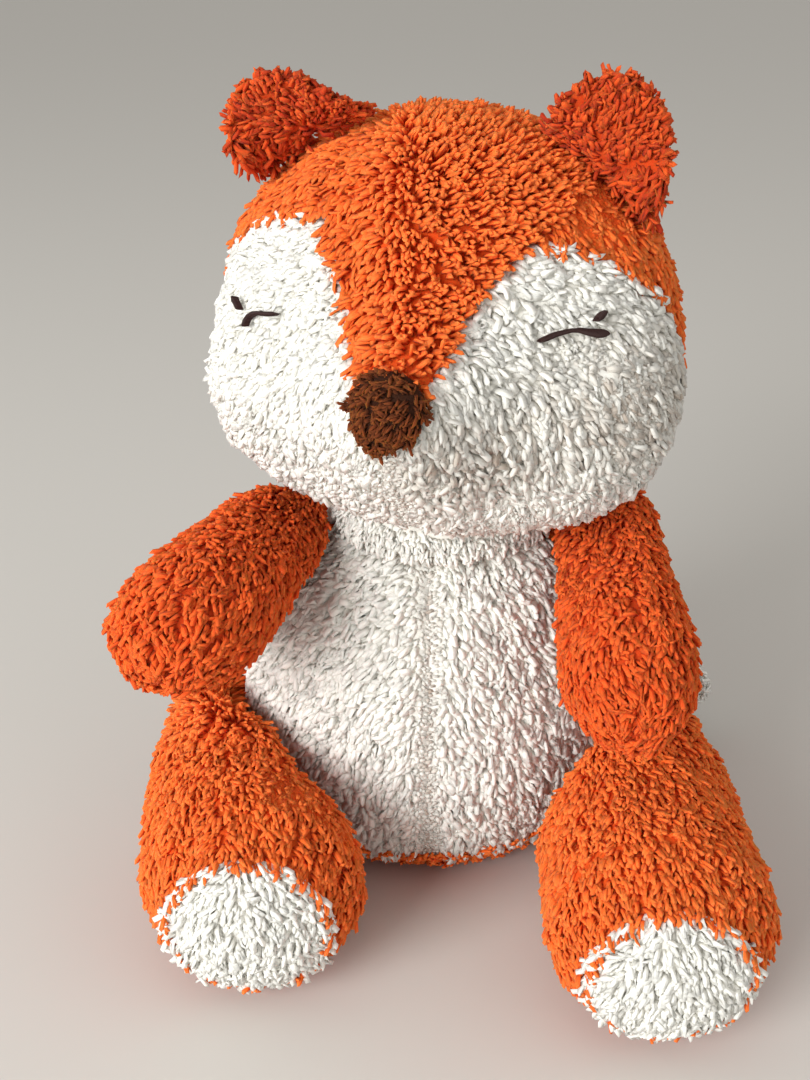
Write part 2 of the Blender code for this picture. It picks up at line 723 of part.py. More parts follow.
body_row_angles = []
body_row_columns = []
for body_row in range(BODY_ROWS_SIDE + BODY_ROWS_SEAT + 1):
    share = min(body_row / BODY_ROWS_SIDE, 1.0)
    seat_edge = SEAT_EDGE_ANGLES.mean()
    columns_here = body_columns(NECK_RING + (seat_edge - NECK_RING) * share)
    spread_here = np.minimum(columns_here, 2 * math.pi - columns_here)
    edge = np.interp(spread_here, SEAT_COLUMN_ANGLES, SEAT_EDGE_ANGLES)
    beyond = max(body_row - BODY_ROWS_SIDE, 0) / BODY_ROWS_SEAT
    body_row_angles.append(NECK_RING + (edge - NECK_RING) * share + (math.pi - edge) * beyond)
    body_row_columns.append(columns_here)
body_grid = grid_directions(
    np.array(body_row_angles), np.array(body_row_columns), (0, 0, 1), (0, -1, 0), 1.0)

BACK_COLUMN = BELLY_COLUMNS + BACK_COLUMNS
ALL_BODY_COLUMNS = 2 * BACK_COLUMN
LAST_BODY_ROW = BODY_ROWS_SIDE + BODY_ROWS_SEAT

neck_pole = pole_row((0, 0, 1), (0, -1, 0), ALL_BODY_COLUMNS)
torso_stuffing = filling("torso_stuffing", body_form, np.concatenate([neck_pole, body_grid]), fibre, None)
side_rows = (0, BODY_ROWS_SIDE)
seat_rows = (BODY_ROWS_SIDE, LAST_BODY_ROW)
panel("seat_panel", body_form, body_grid, seat_rows, (0, ALL_BODY_COLUMNS), orange, None)
body_sides = []
for side_name, first, back_first in (("left", 0, BELLY_COLUMNS), ("right", -BELLY_COLUMNS, BACK_COLUMN)):
    belly_name = side_name + "_belly_panel"
    belly_span = (first, first + BELLY_COLUMNS)
    body_sides.append(panel(belly_name, body_form, body_grid, side_rows, belly_span, white, None))
    back_name = side_name + "_back_panel"
    back_span = (back_first, back_first + BACK_COLUMNS)
    body_sides.append(panel(back_name, body_form, body_grid, side_rows, back_span, orange, None))


# Arms: the pole is the paw, the seams run down the front and the back
ARM_ROWS = 8
ARM_COLUMNS = 12

# Lumps along the arm: place, half length, and how much of the full thickness and width
ARM_PLACE_SHARES = (0.0, 0.40, 0.68)
ARM_REACH_SHARES = (0.20, 0.40, 0.28)
ARM_THICKNESS_SHARES = (0.86, 0.92, 1.0)
ARM_WIDTH_SHARES = (0.90, 0.92, 1.0)
ARM_CORE_SHARES = (0.18, -0.12, -0.45)


def build_arm(side_name, side, forward, outward, drop, clearance):
    """The arm hangs down its own -Z from the shoulder, broad from front to back."""
    shoulder = (BODY_LEAN + side * SHOULDER_SPREAD, -SHOULDER_ADVANCE, BODY_HEIGHT - SHOULDER_UNDER_TOP)
    turn = (-forward, side * -outward, 0.0)
    frame = empty(side_name + "_arm", shoulder, turn)
    lumps = [
        ((0.0, 0.0, -ARM_LENGTH * place),
         (ARM_THICKNESS / 2 * thickness, ARM_WIDTH / 2 * width, ARM_LENGTH * reach))
        for place, reach, thickness, width in zip(
            ARM_PLACE_SHARES, ARM_REACH_SHARES, ARM_THICKNESS_SHARES, ARM_WIDTH_SHARES)
    ]
    swings = swings_about("X", [drop - share * (ARM_RAISE + drop) for share in SWING_SHARES])
    across, forth, along = ARM_CORE_SHARES
    core = (side * ARM_THICKNESS * across, ARM_WIDTH * forth, ARM_LENGTH * along)
    form = Form(lumps, core, ARM_LENGTH, keep_off=larger_distance(shoulder, turn, swings, with_head=True),
                clearance=clearance, cut_roundness=ARM_CUT_ROUNDNESS)
    rows = np.linspace(0, math.pi, ARM_ROWS + 1)[:, None]
    columns = (np.arange(ARM_COLUMNS) * 2 * math.pi / ARM_COLUMNS)[None]
    grid = grid_directions(rows, columns, (0, 0, -1), (0, -1, 0), ARM_LENGTH / ARM_WIDTH)
    half_round = ARM_COLUMNS // 2
    outer_first, inner_first = (0, half_round) if side < 0 else (half_round, 0)
    filling(side_name + "_arm_stuffing", form, grid, fibre, frame)
    for part_name, first in (("outer", outer_first), ("inner", inner_first)):
        panel(side_name + "_arm_" + part_name + "_panel", form, grid, (0, ARM_ROWS),
              (first, first + half_round), orange, frame)
    return frame


left_arm = build_arm("left", 1, LEFT_ARM_FORWARD, LEFT_ARM_OUTWARD, LEFT_ARM_DROP, LEFT_ARM_CLEARANCE)
right_arm = build_arm("right", -1, RIGHT_ARM_FORWARD, RIGHT_ARM_OUTWARD, RIGHT_ARM_DROP, RIGHT_ARM_CLEARANCE)


# Legs: the pole is the sole, the seams run along the top and the bottom
LEG_ROWS = 9
LEG_COLUMNS = 16
SOLE_ROW = 3
SOLE_ROW_SHARES = (0.0, 0.36, 0.70, 1.0)
SOLE_ANGLE = math.radians(46)

# Lumps along the leg, from foot to thigh: place, half length, and how much of the foot's size
LEG_PLACE_SHARES = (1.0, 0.55, 0.30)
LEG_WIDTH_SHARES = (1.0, 0.96, 0.96)
LEG_HEIGHT_SHARES = (1.02, 1.05, 1.10)
FOOT_REACH_SHARE = 0.86
FOOT_END_SHARE = 0.92
SHANK_REACH_SHARE = 0.46
THIGH_REACH_SHARE = 0.27
LEG_CORE_SHARE = 0.78


def build_leg(side_name, side, splay, leg_length, sole_shift, clearance):
    """The leg lies along its own -Y from the hip line, its underside on the floor."""
    hip = (side * HIP_SPREAD, -HIP_ADVANCE, HIP_HEIGHT)
    turn = (0.0, 0.0, side * splay)
    frame = empty(side_name + "_leg", hip, turn)
    middle = FOOT_HEIGHT / 2 - HIP_HEIGHT
    foot_radius = FOOT_WIDTH / 2
    foot_centre = foot_radius * FOOT_END_SHARE - leg_length
    shifts = (0.0, side * THIGH_BULGE, side * THIGH_BULGE)
    rises = (0.0, 0.0, THIGH_RISE)
    reaches = (
        foot_radius * FOOT_REACH_SHARE, leg_length * SHANK_REACH_SHARE, leg_length * THIGH_REACH_SHARE)
    lumps = [
        ((shift, foot_centre * place, middle + rise), (foot_radius * width, reach, FOOT_HEIGHT / 2 * height))
        for shift, place, rise, width, reach, height in zip(
            shifts, LEG_PLACE_SHARES, rises, LEG_WIDTH_SHARES, reaches, LEG_HEIGHT_SHARES)
    ]
    swing_range = LEG_SPREAD + LEG_CLOSE
    swings = swings_about("Z", [side * (share * swing_range - LEG_CLOSE) for share in SWING_SHARES])
    core = (side * sole_shift, foot_centre * LEG_CORE_SHARE, middle)
    form = Form(lumps, core, leg_length, floor=-HIP_HEIGHT, keep_off=larger_distance(hip, turn, swings),
                clearance=clearance, cut_roundness=LEG_CUT_ROUNDNESS)
    sole_rows = np.array(SOLE_ROW_SHARES) * SOLE_ANGLE
    limb_rows = np.linspace(SOLE_ANGLE, math.pi, LEG_ROWS - SOLE_ROW + 1)[1:]
    rows = np.concatenate([sole_rows, limb_rows])[:, None]
    columns = (np.arange(LEG_COLUMNS) * 2 * math.pi / LEG_COLUMNS)[None]
    grid = grid_directions(rows, columns, (0, -1, 0), (0, 0, 1), leg_length / FOOT_WIDTH)
    half_round = LEG_COLUMNS // 2
    outer_first, inner_first = (0, half_round) if side < 0 else (half_round, 0)
    filling(side_name + "_leg_stuffing", form, grid, fibre, frame)
    panel(side_name + "_foot_pad", form, grid, (0, SOLE_ROW), (0, LEG_COLUMNS), white, frame)
    for part_name, first in (("outer", outer_first), ("inner", inner_first)):
        panel(side_name + "_leg_" + part_name + "_panel", form, grid, (SOLE_ROW, LEG_ROWS),
              (first, first + half_round), orange, frame)
    return frame


left_leg = build_leg("left", 1, LEFT_LEG_SPLAY, LEFT_LEG_LENGTH, LEFT_SOLE_SHIFT, LEFT_LEG_CLEARANCE)
right_leg = build_leg("right", -1, RIGHT_LEG_SPLAY, RIGHT_LEG_LENGTH, RIGHT_SOLE_SHIFT, RIGHT_LEG_CLEARANCE)


# Tail: sewn on behind, curling round the fox's left side, the pole is its white tip
TAIL_ROWS = 10
TAIL_COLUMNS = 12
TAIL_WHITE_ROW = 3

# Lumps along the tail: place along and to the side, half length, how much of the full thickness
TAIL_PLACE_SHARES = (0.0, 0.20, 0.52, 0.80)
TAIL_BEND_SHARES = (0.0, 0.14, 0.20, 0.06)
TAIL_REACH_SHARES = (0.11, 0.22, 0.28, 0.21)
TAIL_THICKNESS_SHARES = (0.62, 0.84, 1.0, 0.80)
TAIL_CORE_SHARES = (0.36, 0.18)


def build_tail():
    """The tail runs along its own +X from its root behind the body."""
    root = (TAIL_ROOT_SIDEWAYS, TAIL_ROOT_SETBACK, TAIL_ROOT_HEIGHT)
    turn = (0.0, -TAIL_RISE, -TAIL_TURN)
    frame = empty("tail", root, turn)
    lumps = [
        ((TAIL_LENGTH * place, TAIL_LENGTH * bend, 0.0),
         (TAIL_LENGTH * reach, TAIL_THICKNESS / 2 * thickness, TAIL_THICKNESS / 2 * thickness))
        for place, bend, reach, thickness in zip(
            TAIL_PLACE_SHARES, TAIL_BEND_SHARES, TAIL_REACH_SHARES, TAIL_THICKNESS_SHARES)
    ]
    swing_range = TAIL_SWING_IN + TAIL_SWING_OUT
    swings = swings_about("Z", [share * swing_range - TAIL_SWING_IN for share in SWING_SHARES])
    along, aside = TAIL_CORE_SHARES
    form = Form(lumps, (along * TAIL_LENGTH, aside * TAIL_LENGTH, 0.0), TAIL_LENGTH,
                keep_off=larger_distance(root, turn, swings), clearance=TAIL_CLEARANCE,
                cut_roundness=TAIL_CUT_ROUNDNESS)
    rows = np.linspace(0, math.pi, TAIL_ROWS + 1)[:, None]
    columns = (np.arange(TAIL_COLUMNS) * 2 * math.pi / TAIL_COLUMNS)[None]
    grid = grid_directions(rows, columns, (1, 0, 0), (0, 0, 1), TAIL_LENGTH / TAIL_THICKNESS)
    filling("tail_stuffing", form, grid, fibre, frame)
    panel("tail_tip", form, grid, (0, TAIL_WHITE_ROW), (0, TAIL_COLUMNS), white, frame)
    panel("tail_sleeve", form, grid, (TAIL_WHITE_ROW, TAIL_ROWS), (0, TAIL_COLUMNS), orange, frame)
    return frame


tail = build_tail()


# Neck: a firm dome of filling on the body's cut top, which the head's hollow underside turns on
neck_wad = new_object("neck_stuffing", ball_mesh("neck_stuffing", NECK_BALL_RADIUS), fibre, head_turn)
rim_rise = NECK_UNDER_TOP - NECK_RIM_UNDER_TOP
under_neck = as_cutter(
    bpy.data.objects.new("under_neck", drum_mesh("under_neck", BODY_WIDTH, BODY_WIDTH)),
    Vector(neck_point) + Vector((0.0, 0.0, rim_rise + SEAM_GAP - BODY_WIDTH)))
cut(neck_wad, under_neck)

body_top = as_cutter(
    bpy.data.objects.new("body_top", drum_mesh("body_top", BODY_WIDTH, BODY_WIDTH)),
    Vector(neck_point) + Vector((0.0, 0.0, rim_rise)))
for node in [torso_stuffing] + body_sides:
    cut(node, body_top)

head_socket = as_cutter(
    bpy.data.objects.new("head_socket", ball_mesh("head_socket", NECK_BALL_RADIUS + SOCKET_CLEARANCE)),
    Vector(neck_point))
for node in [head_stuffing] + list(head_sides.values()):
    cut(node, head_socket)
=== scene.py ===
import json
import math

import bmesh
import bpy
import numpy as np
from mathutils import Matrix, Vector, noise
from mathutils.bvhtree import BVHTree
from mathutils.kdtree import KDTree


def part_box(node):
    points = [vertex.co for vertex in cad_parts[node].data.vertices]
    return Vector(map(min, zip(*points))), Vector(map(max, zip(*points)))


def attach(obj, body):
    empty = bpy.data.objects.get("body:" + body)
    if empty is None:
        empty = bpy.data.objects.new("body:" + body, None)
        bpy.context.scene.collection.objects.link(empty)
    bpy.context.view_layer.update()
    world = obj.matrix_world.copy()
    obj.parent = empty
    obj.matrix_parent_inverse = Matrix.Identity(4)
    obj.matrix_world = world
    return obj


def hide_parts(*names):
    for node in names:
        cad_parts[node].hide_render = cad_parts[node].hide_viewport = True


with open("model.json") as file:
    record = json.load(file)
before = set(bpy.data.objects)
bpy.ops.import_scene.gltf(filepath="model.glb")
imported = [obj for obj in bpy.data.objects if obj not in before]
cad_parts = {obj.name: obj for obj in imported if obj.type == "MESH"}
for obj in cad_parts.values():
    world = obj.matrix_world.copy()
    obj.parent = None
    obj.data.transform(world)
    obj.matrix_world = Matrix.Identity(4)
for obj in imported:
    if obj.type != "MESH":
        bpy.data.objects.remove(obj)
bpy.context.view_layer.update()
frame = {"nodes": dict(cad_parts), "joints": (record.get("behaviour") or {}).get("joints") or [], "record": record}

# Head fleece
# Five panels of curly polyester fleece make the head: two white cheeks that meet under the nose, an orange
# forehead that runs from the nose over the crown, and two orange back panels. Each is a knitted backing with
# soft looped locks, cut to shape and sewn to its neighbours from the inside, so that the pile hides the seam.
WELD = 1e-6
SEAM_REACH = 0.003
JOIN_FLATNESS = math.radians(40)
JOIN_SQUARENESS = math.radians(60)
CREASE_ANGLE = math.radians(50)
POINTED_ANGLE = math.radians(40)
LEAST_BACKING = 0.0006

PILE_DEPTH = 0.0030
TRIES_PER_ROOT = 4
TUFT_SPACING = 0.0045
SWIRLS_PER_METRE = 70.0
SWIRL_SEED = 1
STRAY = 0.18
PRESSED_ROOM = 0.0042
PRESSED_SHARE = 0.4
FACING_FLOOR = -0.05
FLOOR_CLEARANCE = 0.0002

LOCK_RINGS = (0.45, 0.86)
LOCK_HEIGHT_SHARES = (0.0, *LOCK_RINGS, 1.0)
LOCK_WIDTH_SHARES = (0.6, 1.0, 0.92, 0.0)
LOCK_ROOT_DEPTH = 0.0004
LENGTH_SPREAD = (0.75, 1.15)
WIDTH_SPREAD = (0.8, 1.25)
FOOT_LEAN_SPREAD = 10
TIP_LEAN_SPREAD = 20
LEAST_TURN = 0.05
MOST_TWIST = 1.5
STANDING_SHARE = 0.75
LEAST_STANDING = 0.12
NEAR_END = 0.01

PILE_SHARE_OF_MAP = 0.88
MAP_MARGIN = 0.01
CELL_MARGIN = 0.04
FACE_SHARE_OF_CELL = 0.6
FOOT_STRIP = 0.1
# The backing takes the root colour, so it carries the painted shade of the locks' foot.
BACKING_TONE = (0.0, 0.5, 0.5, 0.0)

# Without a seed, Blender starts its vector noise from the clock, and the locks would swirl anew on each run.
noise.seed_set(SWIRL_SEED)
body_of_node = {n: body for body, names in frame["record"]["behaviour"]["bodies"].items() for n in names}


def nodes_on(body):
    return [n for n in body_of_node if body_of_node[n] == body]


def solids_as_tree(names):
    """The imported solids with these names, as one tree for rays and nearest points."""
    corners, faces = [], []
    for name in names:
        mesh = frame["nodes"][name].data
        start = len(corners)
        corners += [v.co.copy() for v in mesh.vertices]
        faces += [[start + i for i in p.vertices] for p in mesh.polygons]
    return BVHTree.FromPolygons(corners, faces)


def gaps_to(names, places):
    """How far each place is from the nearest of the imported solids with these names."""
    tree = solids_as_tree(names)
    return np.array([tree.find_nearest(Vector(place))[3] for place in places])


def linked(name, data):
    """A new object with this data, put into the scene."""
    item = bpy.data.objects.new(name, data)
    bpy.context.scene.collection.objects.link(item)
    return item


def meshed(draft):
    """The mesh that a draft object shows once its modifiers or bevel are worked out. The draft is removed."""
    mesh = bpy.data.meshes.new_from_object(draft.evaluated_get(bpy.context.evaluated_depsgraph_get()))
    bpy.data.objects.remove(draft)
    return mesh


def crease_rims(bm):
    """Marks the rims of a panel, and the points where a rim turns, to stay sharp when it is subdivided."""
    crease = bm.edges.layers.float.new("crease_edge")
    point = bm.verts.layers.float.new("crease_vert")
    for edge in bm.edges:
        if len(edge.link_faces) == 2 and edge.calc_face_angle(0) > CREASE_ANGLE:
            edge[crease] = 1.0
    for vert in bm.verts:
        rims = [(edge.other_vert(vert).co - vert.co).normalized() for edge in vert.link_edges if edge[crease]]
        if len(rims) == 2 and rims[0].dot(rims[1]) > -math.cos(POINTED_ANGLE):
            vert[point] = 1.0


def lift_off_filling(mesh, body, sink):
    """Moves the corners of a backing that have sunk into its body's filling back out of it."""
    wads = [n for n in nodes_on(body) if n.endswith("stuffing")]
    if not wads:
        return
    filling = solids_as_tree(wads)
    for vert in mesh.vertices:
        place, outward, _, gap = filling.find_nearest(vert.co)
        height = (vert.co - place).dot(outward)
        if gap < sink and height < LEAST_BACKING:
            vert.co += outward * (LEAST_BACKING - height)


def backing(node, sink=PILE_DEPTH):
    """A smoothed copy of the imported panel, its pile side lowered to the foot of the locks and marked."""
    body = body_of_node[node]
    own = solids_as_tree([n for n in nodes_on(body) if n != node and "eye" not in n])
    bm = bmesh.new()
    bm.from_mesh(frame["nodes"][node].data)
    bmesh.ops.remove_doubles(bm, verts=bm.verts, dist=WELD)
    bmesh.ops.join_triangles(
        bm, faces=bm.faces, angle_face_threshold=JOIN_FLATNESS, angle_shape_threshold=JOIN_SQUARENESS
    )
    bm.normal_update()
    pile_side = bm.faces.layers.int.new("pile_side")
    for face in bm.faces:
        start = face.calc_center_median() + face.normal * WELD
        face[pile_side] = int(own.ray_cast(start, face.normal, SEAM_REACH)[0] is None)
    lowered = {}
    for vert in bm.verts:
        outward = sum((f.normal * f.calc_area() for f in vert.link_faces if f[pile_side]), Vector())
        if outward.length > 0:
            lowered[vert] = outward.normalized() * sink
    for vert, drop in lowered.items():
        vert.co -= drop
    crease_rims(bm)
    mesh = bpy.data.meshes.new(node)
    bm.to_mesh(mesh)
    bm.free()
    draft = linked(node, mesh)
    smoothing = draft.modifiers.new("smoothing", "SUBSURF")
    smoothing.levels = smoothing.render_levels = 1
    smooth = meshed(draft)
    lift_off_filling(smooth, body, sink)
    return smooth


def standing_lock():
    """One lock of pile, standing a metre tall: a three-sided cone cut into rings and drawn to a point."""
    bm = bmesh.new()
    bmesh.ops.create_cone(
        bm,
        cap_ends=True,
        cap_tris=False,
        segments=3,
        radius1=1.0,
        radius2=0.1,
        depth=1.0,
        matrix=Matrix.Translation((0, 0, 0.5)),
    )
    for height in LOCK_RINGS:
        bmesh.ops.bisect_plane(
            bm, geom=bm.verts[:] + bm.edges[:] + bm.faces[:], plane_co=(0, 0, height), plane_no=(0, 0, 1)
        )
    bmesh.ops.pointmerge(bm, verts=[v for v in bm.verts if v.co.z > 1 - NEAR_END], merge_co=(0, 0, 1))
    bm.verts.index_update()
    return bm


def lock_sides_flattened(bm):
    """Where each corner of a standing lock goes when its sides are laid flat in a square, foot below."""
    flat = []
    for face in bm.faces:
        foot = max(loop.vert.co.z for loop in face.loops) < NEAR_END
        middle = 0.0 if foot else math.atan2(face.calc_center_median().y, face.calc_center_median().x)
        for loop in face.loops:
            x, y, z = loop.vert.co
            off = 0.0 if z > 1 - NEAR_END else (math.atan2(y, x) - middle + math.pi) % (2 * math.pi) - math.pi
            across = (middle / (2 * math.pi)) % 1.0 + off / (2 * math.pi)
            up = FOOT_STRIP + (1 - FOOT_STRIP) * z
            flat.append((0.5 + 0.3 * x, FOOT_STRIP / 2 + 0.04 * y) if foot else (across, up))
    flat = np.array(flat)
    flat[:, 0] = (flat[:, 0] - flat[:, 0].min()) / np.ptp(flat[:, 0])
    return flat


def unit(vectors):
    return vectors / np.linalg.norm(vectors, axis=1, keepdims=True).clip(1e-12)


def rising(distances, start, reach, least=0.0):
    """A share that rises evenly with the distance, from 0 at start to 1 a reach further on, and isn't below
    least or above 1 anywhere."""
    return ((distances - start) / reach).clip(least, 1)


def nearby(places):
    """A tree that finds the nearest of some places."""
    tree = KDTree(len(places))
    for i, place in enumerate(places):
        tree.insert(place, i)
    tree.balance()
    return tree


def roots_on(mesh, spacing, seed):
    """Evenly scattered places on a backing's pile side, at least spacing apart, with their normals."""
    mesh.calc_loop_triangles()
    sides = np.zeros(len(mesh.polygons), np.int32)
    mesh.attributes["pile_side"].data.foreach_get("value", sides)
    corners = np.zeros(len(mesh.vertices) * 3)
    mesh.vertices.foreach_get("co", corners)
    corners = corners.reshape(-1, 3)
    tri = np.array([t.vertices[:] for t in mesh.loop_triangles])
    tri = tri[sides[[t.polygon_index for t in mesh.loop_triangles]] == 1]
    a, b, c = corners[tri[:, 0]], corners[tri[:, 1]], corners[tri[:, 2]]
    across = np.cross(b - a, c - a)
    normals = np.zeros_like(corners)
    for corner in range(3):
        np.add.at(normals, tri[:, corner], across)
    normals = unit(normals)
    area = np.linalg.norm(across, axis=1) / 2
    rng = np.random.default_rng(seed)
    tries = int(TRIES_PER_ROOT * area.sum() / spacing**2)
    pick = rng.choice(len(tri), tries, p=area / area.sum())
    u, v = rng.random(tries), rng.random(tries)
    over = u + v > 1
    u[over], v[over] = 1 - u[over], 1 - v[over]
    share = np.stack([1 - u - v, u, v], axis=1)[:, :, None]
    places = (corners[tri[pick]] * share).sum(1)
    facing = unit((normals[tri[pick]] * share).sum(1))
    tree = nearby(places)
    crowded = np.zeros(tries, bool)
    kept = []
    for i in range(tries):
        if not crowded[i]:
            kept.append(i)
            for _, near, _ in tree.find_range(places[i], spacing):
                crowded[near] = True
    return places[kept], facing[kept]


def room_over(node, places, facing, most):
    """How far the pile can stand before it meets another part of the fox or the floor. The pile of the head
    and of the ears grows into each other."""
    body = body_of_node[node]
    joined = ("head", "left_ear", "right_ear") if body in ("head", "left_ear", "right_ear") else (body,)
    others = solids_as_tree([n for n in body_of_node if body_of_node[n] not in joined])
    room = np.full(len(places), most)
    for i, (place, normal) in enumerate(zip(places, facing)):
        hit = others.ray_cast(Vector(place), Vector(normal), most)
        if hit[0] is not None:
            room[i] = hit[3]
        if normal[2] < FACING_FLOOR:
            room[i] = min(room[i], max(place[2], 0.0) / -normal[2])
    return room


def copies_of(lock, points, name):
    """One mesh with a copy of the standing lock for each row of points, which say where its corners are."""
    corner_verts = np.array([loop.vert.index for face in lock.faces for loop in face.loops])
    sizes = np.array([len(face.loops) for face in lock.faces])
    starts = np.cumsum(sizes) - sizes
    count, corners, _ = points.shape
    each = np.arange(count)[:, None]
    mesh = bpy.data.meshes.new(name)
    mesh.vertices.add(count * corners)
    mesh.vertices.foreach_set("co", points.ravel())
    mesh.loops.add(count * len(corner_verts))
    mesh.loops.foreach_set("vertex_index", (corner_verts + each * corners).ravel().astype(np.int32))
    mesh.polygons.add(count * len(sizes))
    mesh.polygons.foreach_set("loop_start", (starts + each * len(corner_verts)).ravel().astype(np.int32))
    mesh.update(calc_edges=True)
    mesh.shade_smooth()
    return mesh


def map_locks(mesh, flattened, count):
    """Lays every lock over the whole Strand map, and gives each a cell of its own in the OFBake map."""
    strand = np.broadcast_to(flattened, (count, *flattened.shape))
    mesh.uv_layers.new(name="Strand").data.foreach_set("uv", strand.ravel().astype(np.float32))
    grid = math.ceil(math.sqrt(count))
    each = np.arange(count)[:, None]
    cell = np.hstack([each % grid, each // grid])[:, None, :]
    spread = (cell + CELL_MARGIN + (1 - 2 * CELL_MARGIN) * flattened) / grid * (1, PILE_SHARE_OF_MAP)
    mesh.uv_layers.new(name="OFBake").data.foreach_set("uv", spread.ravel().astype(np.float32))


def mark_tone(mesh, tone):
    """Writes each corner's height on its lock, which sets the painted shade at the lock's foot, the tones of its
    lock and its tuft, and how much stain and painted shade it takes.
    """
    mesh.attributes.new("lock_tone", "FLOAT_COLOR", "POINT").data.foreach_set("color", tone.ravel())


def pile(
    node,
    skin,
    lie,
    seed,
    length=0.0060,
    width=0.00084,
    spacing=0.00118,
    foot_lean=34,
    tip_lean=124,
    curl=0.22,
    ruffle=0.5,
    tufting=0.6,
    stand_up=None,
    trim=None,
    soiled=None,
):
    """Curly locks on a backing. lie says which way they lie at each place, stand_up how far they stand up
    instead, from 0 to 1, trim what share of their length is left, and soiled how much stain and painted shade they
    take."""
    rng = np.random.default_rng(seed)
    root, normal = roots_on(skin, spacing, seed)
    room = room_over(node, root, normal, 2 * length)
    kept = (room > PRESSED_ROOM) | (rng.random(len(root)) < PRESSED_SHARE)
    root, normal, room = root[kept], normal[kept], room[kept]
    count = len(root)
    tuft_roots, _ = roots_on(skin, TUFT_SPACING, seed + 1)
    tufts = nearby(tuft_roots)
    nearest = [tufts.find(place) for place in root]
    to_tuft = (np.array([place for place, _, _ in nearest]) - root) / TUFT_SPACING
    tuft_tone = rng.random(len(tuft_roots))[[i for _, i, _ in nearest]]
    swirl = np.array([noise.noise_vector(Vector(place) * SWIRLS_PER_METRE) for place in root])
    along = unit(lie(root)) + ruffle * swirl + tufting * to_tuft + STRAY * rng.normal(size=(count, 3))
    along = unit(along - normal * (along * normal).sum(1, keepdims=True))
    side = np.cross(normal, along)

    long = length * rng.uniform(*LENGTH_SPREAD, count) * (1 if trim is None else trim(root))
    flat = 1 if stand_up is None else 1 - stand_up(root)
    lean = np.radians(foot_lean + rng.normal(0, FOOT_LEAN_SPREAD, count)) * flat
    end = np.radians(tip_lean * flat + rng.normal(0, TIP_LEAN_SPREAD, count))
    turn = np.where(np.abs(end - lean) < LEAST_TURN, LEAST_TURN, end - lean)[:, None]
    lean, long = lean[:, None], long[:, None]
    bend = curl * rng.normal(0, 1, (count, 1))
    twist = rng.uniform(-MOST_TWIST, MOST_TWIST, (count, 1))
    thick = width * rng.uniform(*WIDTH_SPREAD, (count, 1))
    stand = np.clip(room[:, None] / (STANDING_SHARE * long), LEAST_STANDING, 1.0)

    lock = standing_lock()
    shape = np.array([vert.co[:] for vert in lock.verts])
    up = shape[:, 2]
    out = np.interp(up, LOCK_HEIGHT_SHARES, LOCK_WIDTH_SHARES) * thick
    around = np.arctan2(shape[:, 1], shape[:, 0]) + twist * up
    phi = lean + turn * up
    rise = long * (np.sin(phi) - np.sin(lean)) / turn * stand - out * np.sin(around) * np.sin(phi)
    run = long * (np.cos(lean) - np.cos(phi)) / turn + out * np.sin(around) * np.cos(phi)
    sway = long * bend * up**2 + out * np.cos(around)
    axes = np.stack([normal, along, side], axis=1)
    points = (root - normal * LOCK_ROOT_DEPTH)[:, None, :] + np.stack([rise, run, sway], axis=2) @ axes
    points[:, :, 2] = points[:, :, 2].clip(FLOOR_CLEARANCE)

    mesh = copies_of(lock, points, node + "_locks")
    map_locks(mesh, lock_sides_flattened(lock), count)
    lock.free()
    tone = np.ones((count, len(shape), 4), np.float32)
    # The height on the lock drives the painted shade at its foot.
    tone[:, :, 0] = up
    tone[:, :, 1] = rng.random((count, 1))
    tone[:, :, 2] = tuft_tone[:, None]
    # The last channel takes the panel's mask of dirt and painted shade.
    tone[:, :, 3] = 0 if soiled is None else soiled(root)[:, None]
    mark_tone(mesh, tone)
    return mesh


def sewn_piece(name, node, skin, locks, finish, stands_for_it=True):
    """The backing and its locks as one piece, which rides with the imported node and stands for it. The faces of
    the backing share the strip of the OFBake map that the locks leave free."""
    grid = math.ceil(math.sqrt(len(skin.polygons)))
    spread = skin.uv_layers.new(name="OFBake")
    skin.uv_layers.new(name="Strand")
    for face in skin.polygons:
        column, row = face.index % grid, face.index // grid
        for corner, loop in enumerate(face.loop_indices):
            turn = math.pi / 4 + 2 * math.pi * corner / face.loop_total
            across = (column + 0.5 + FACE_SHARE_OF_CELL * math.cos(turn)) / grid
            height = (row + 0.5 + FACE_SHARE_OF_CELL * math.sin(turn)) / grid
            strip = 1 - 2 * MAP_MARGIN - PILE_SHARE_OF_MAP
            spread.data[loop].uv = (across, 1 - MAP_MARGIN - strip * (1 - height))
    mark_tone(skin, np.tile(np.float32(BACKING_TONE), len(skin.vertices)))
    skin.attributes.remove(skin.attributes["pile_side"])
    skin.materials.clear()
    skin.materials.append(finish)
    skin.shade_smooth()
    locks.materials.append(finish)
    piece, grown = linked(name, skin), linked(name + "_locks", locks)
    with bpy.context.temp_override(active_object=piece, selected_editable_objects=[piece, grown]):
        bpy.ops.object.join()
    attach(piece, body_of_node[node])
    if stands_for_it:
        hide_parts(node)


def fleece_piece(name, node, lie, finish, seed, sink=PILE_DEPTH, **growth):
    """Makes a panel's backing, grows its pile and sews the two together."""
    skin = backing(node, sink)
    sewn_piece(name, node, skin, pile(node, skin, lie, seed, **growth), finish)


def set_sockets(node, values):
    """Sets some of a shader node's inputs."""
    for socket, value in values.items():
        node.inputs[socket].default_value = value


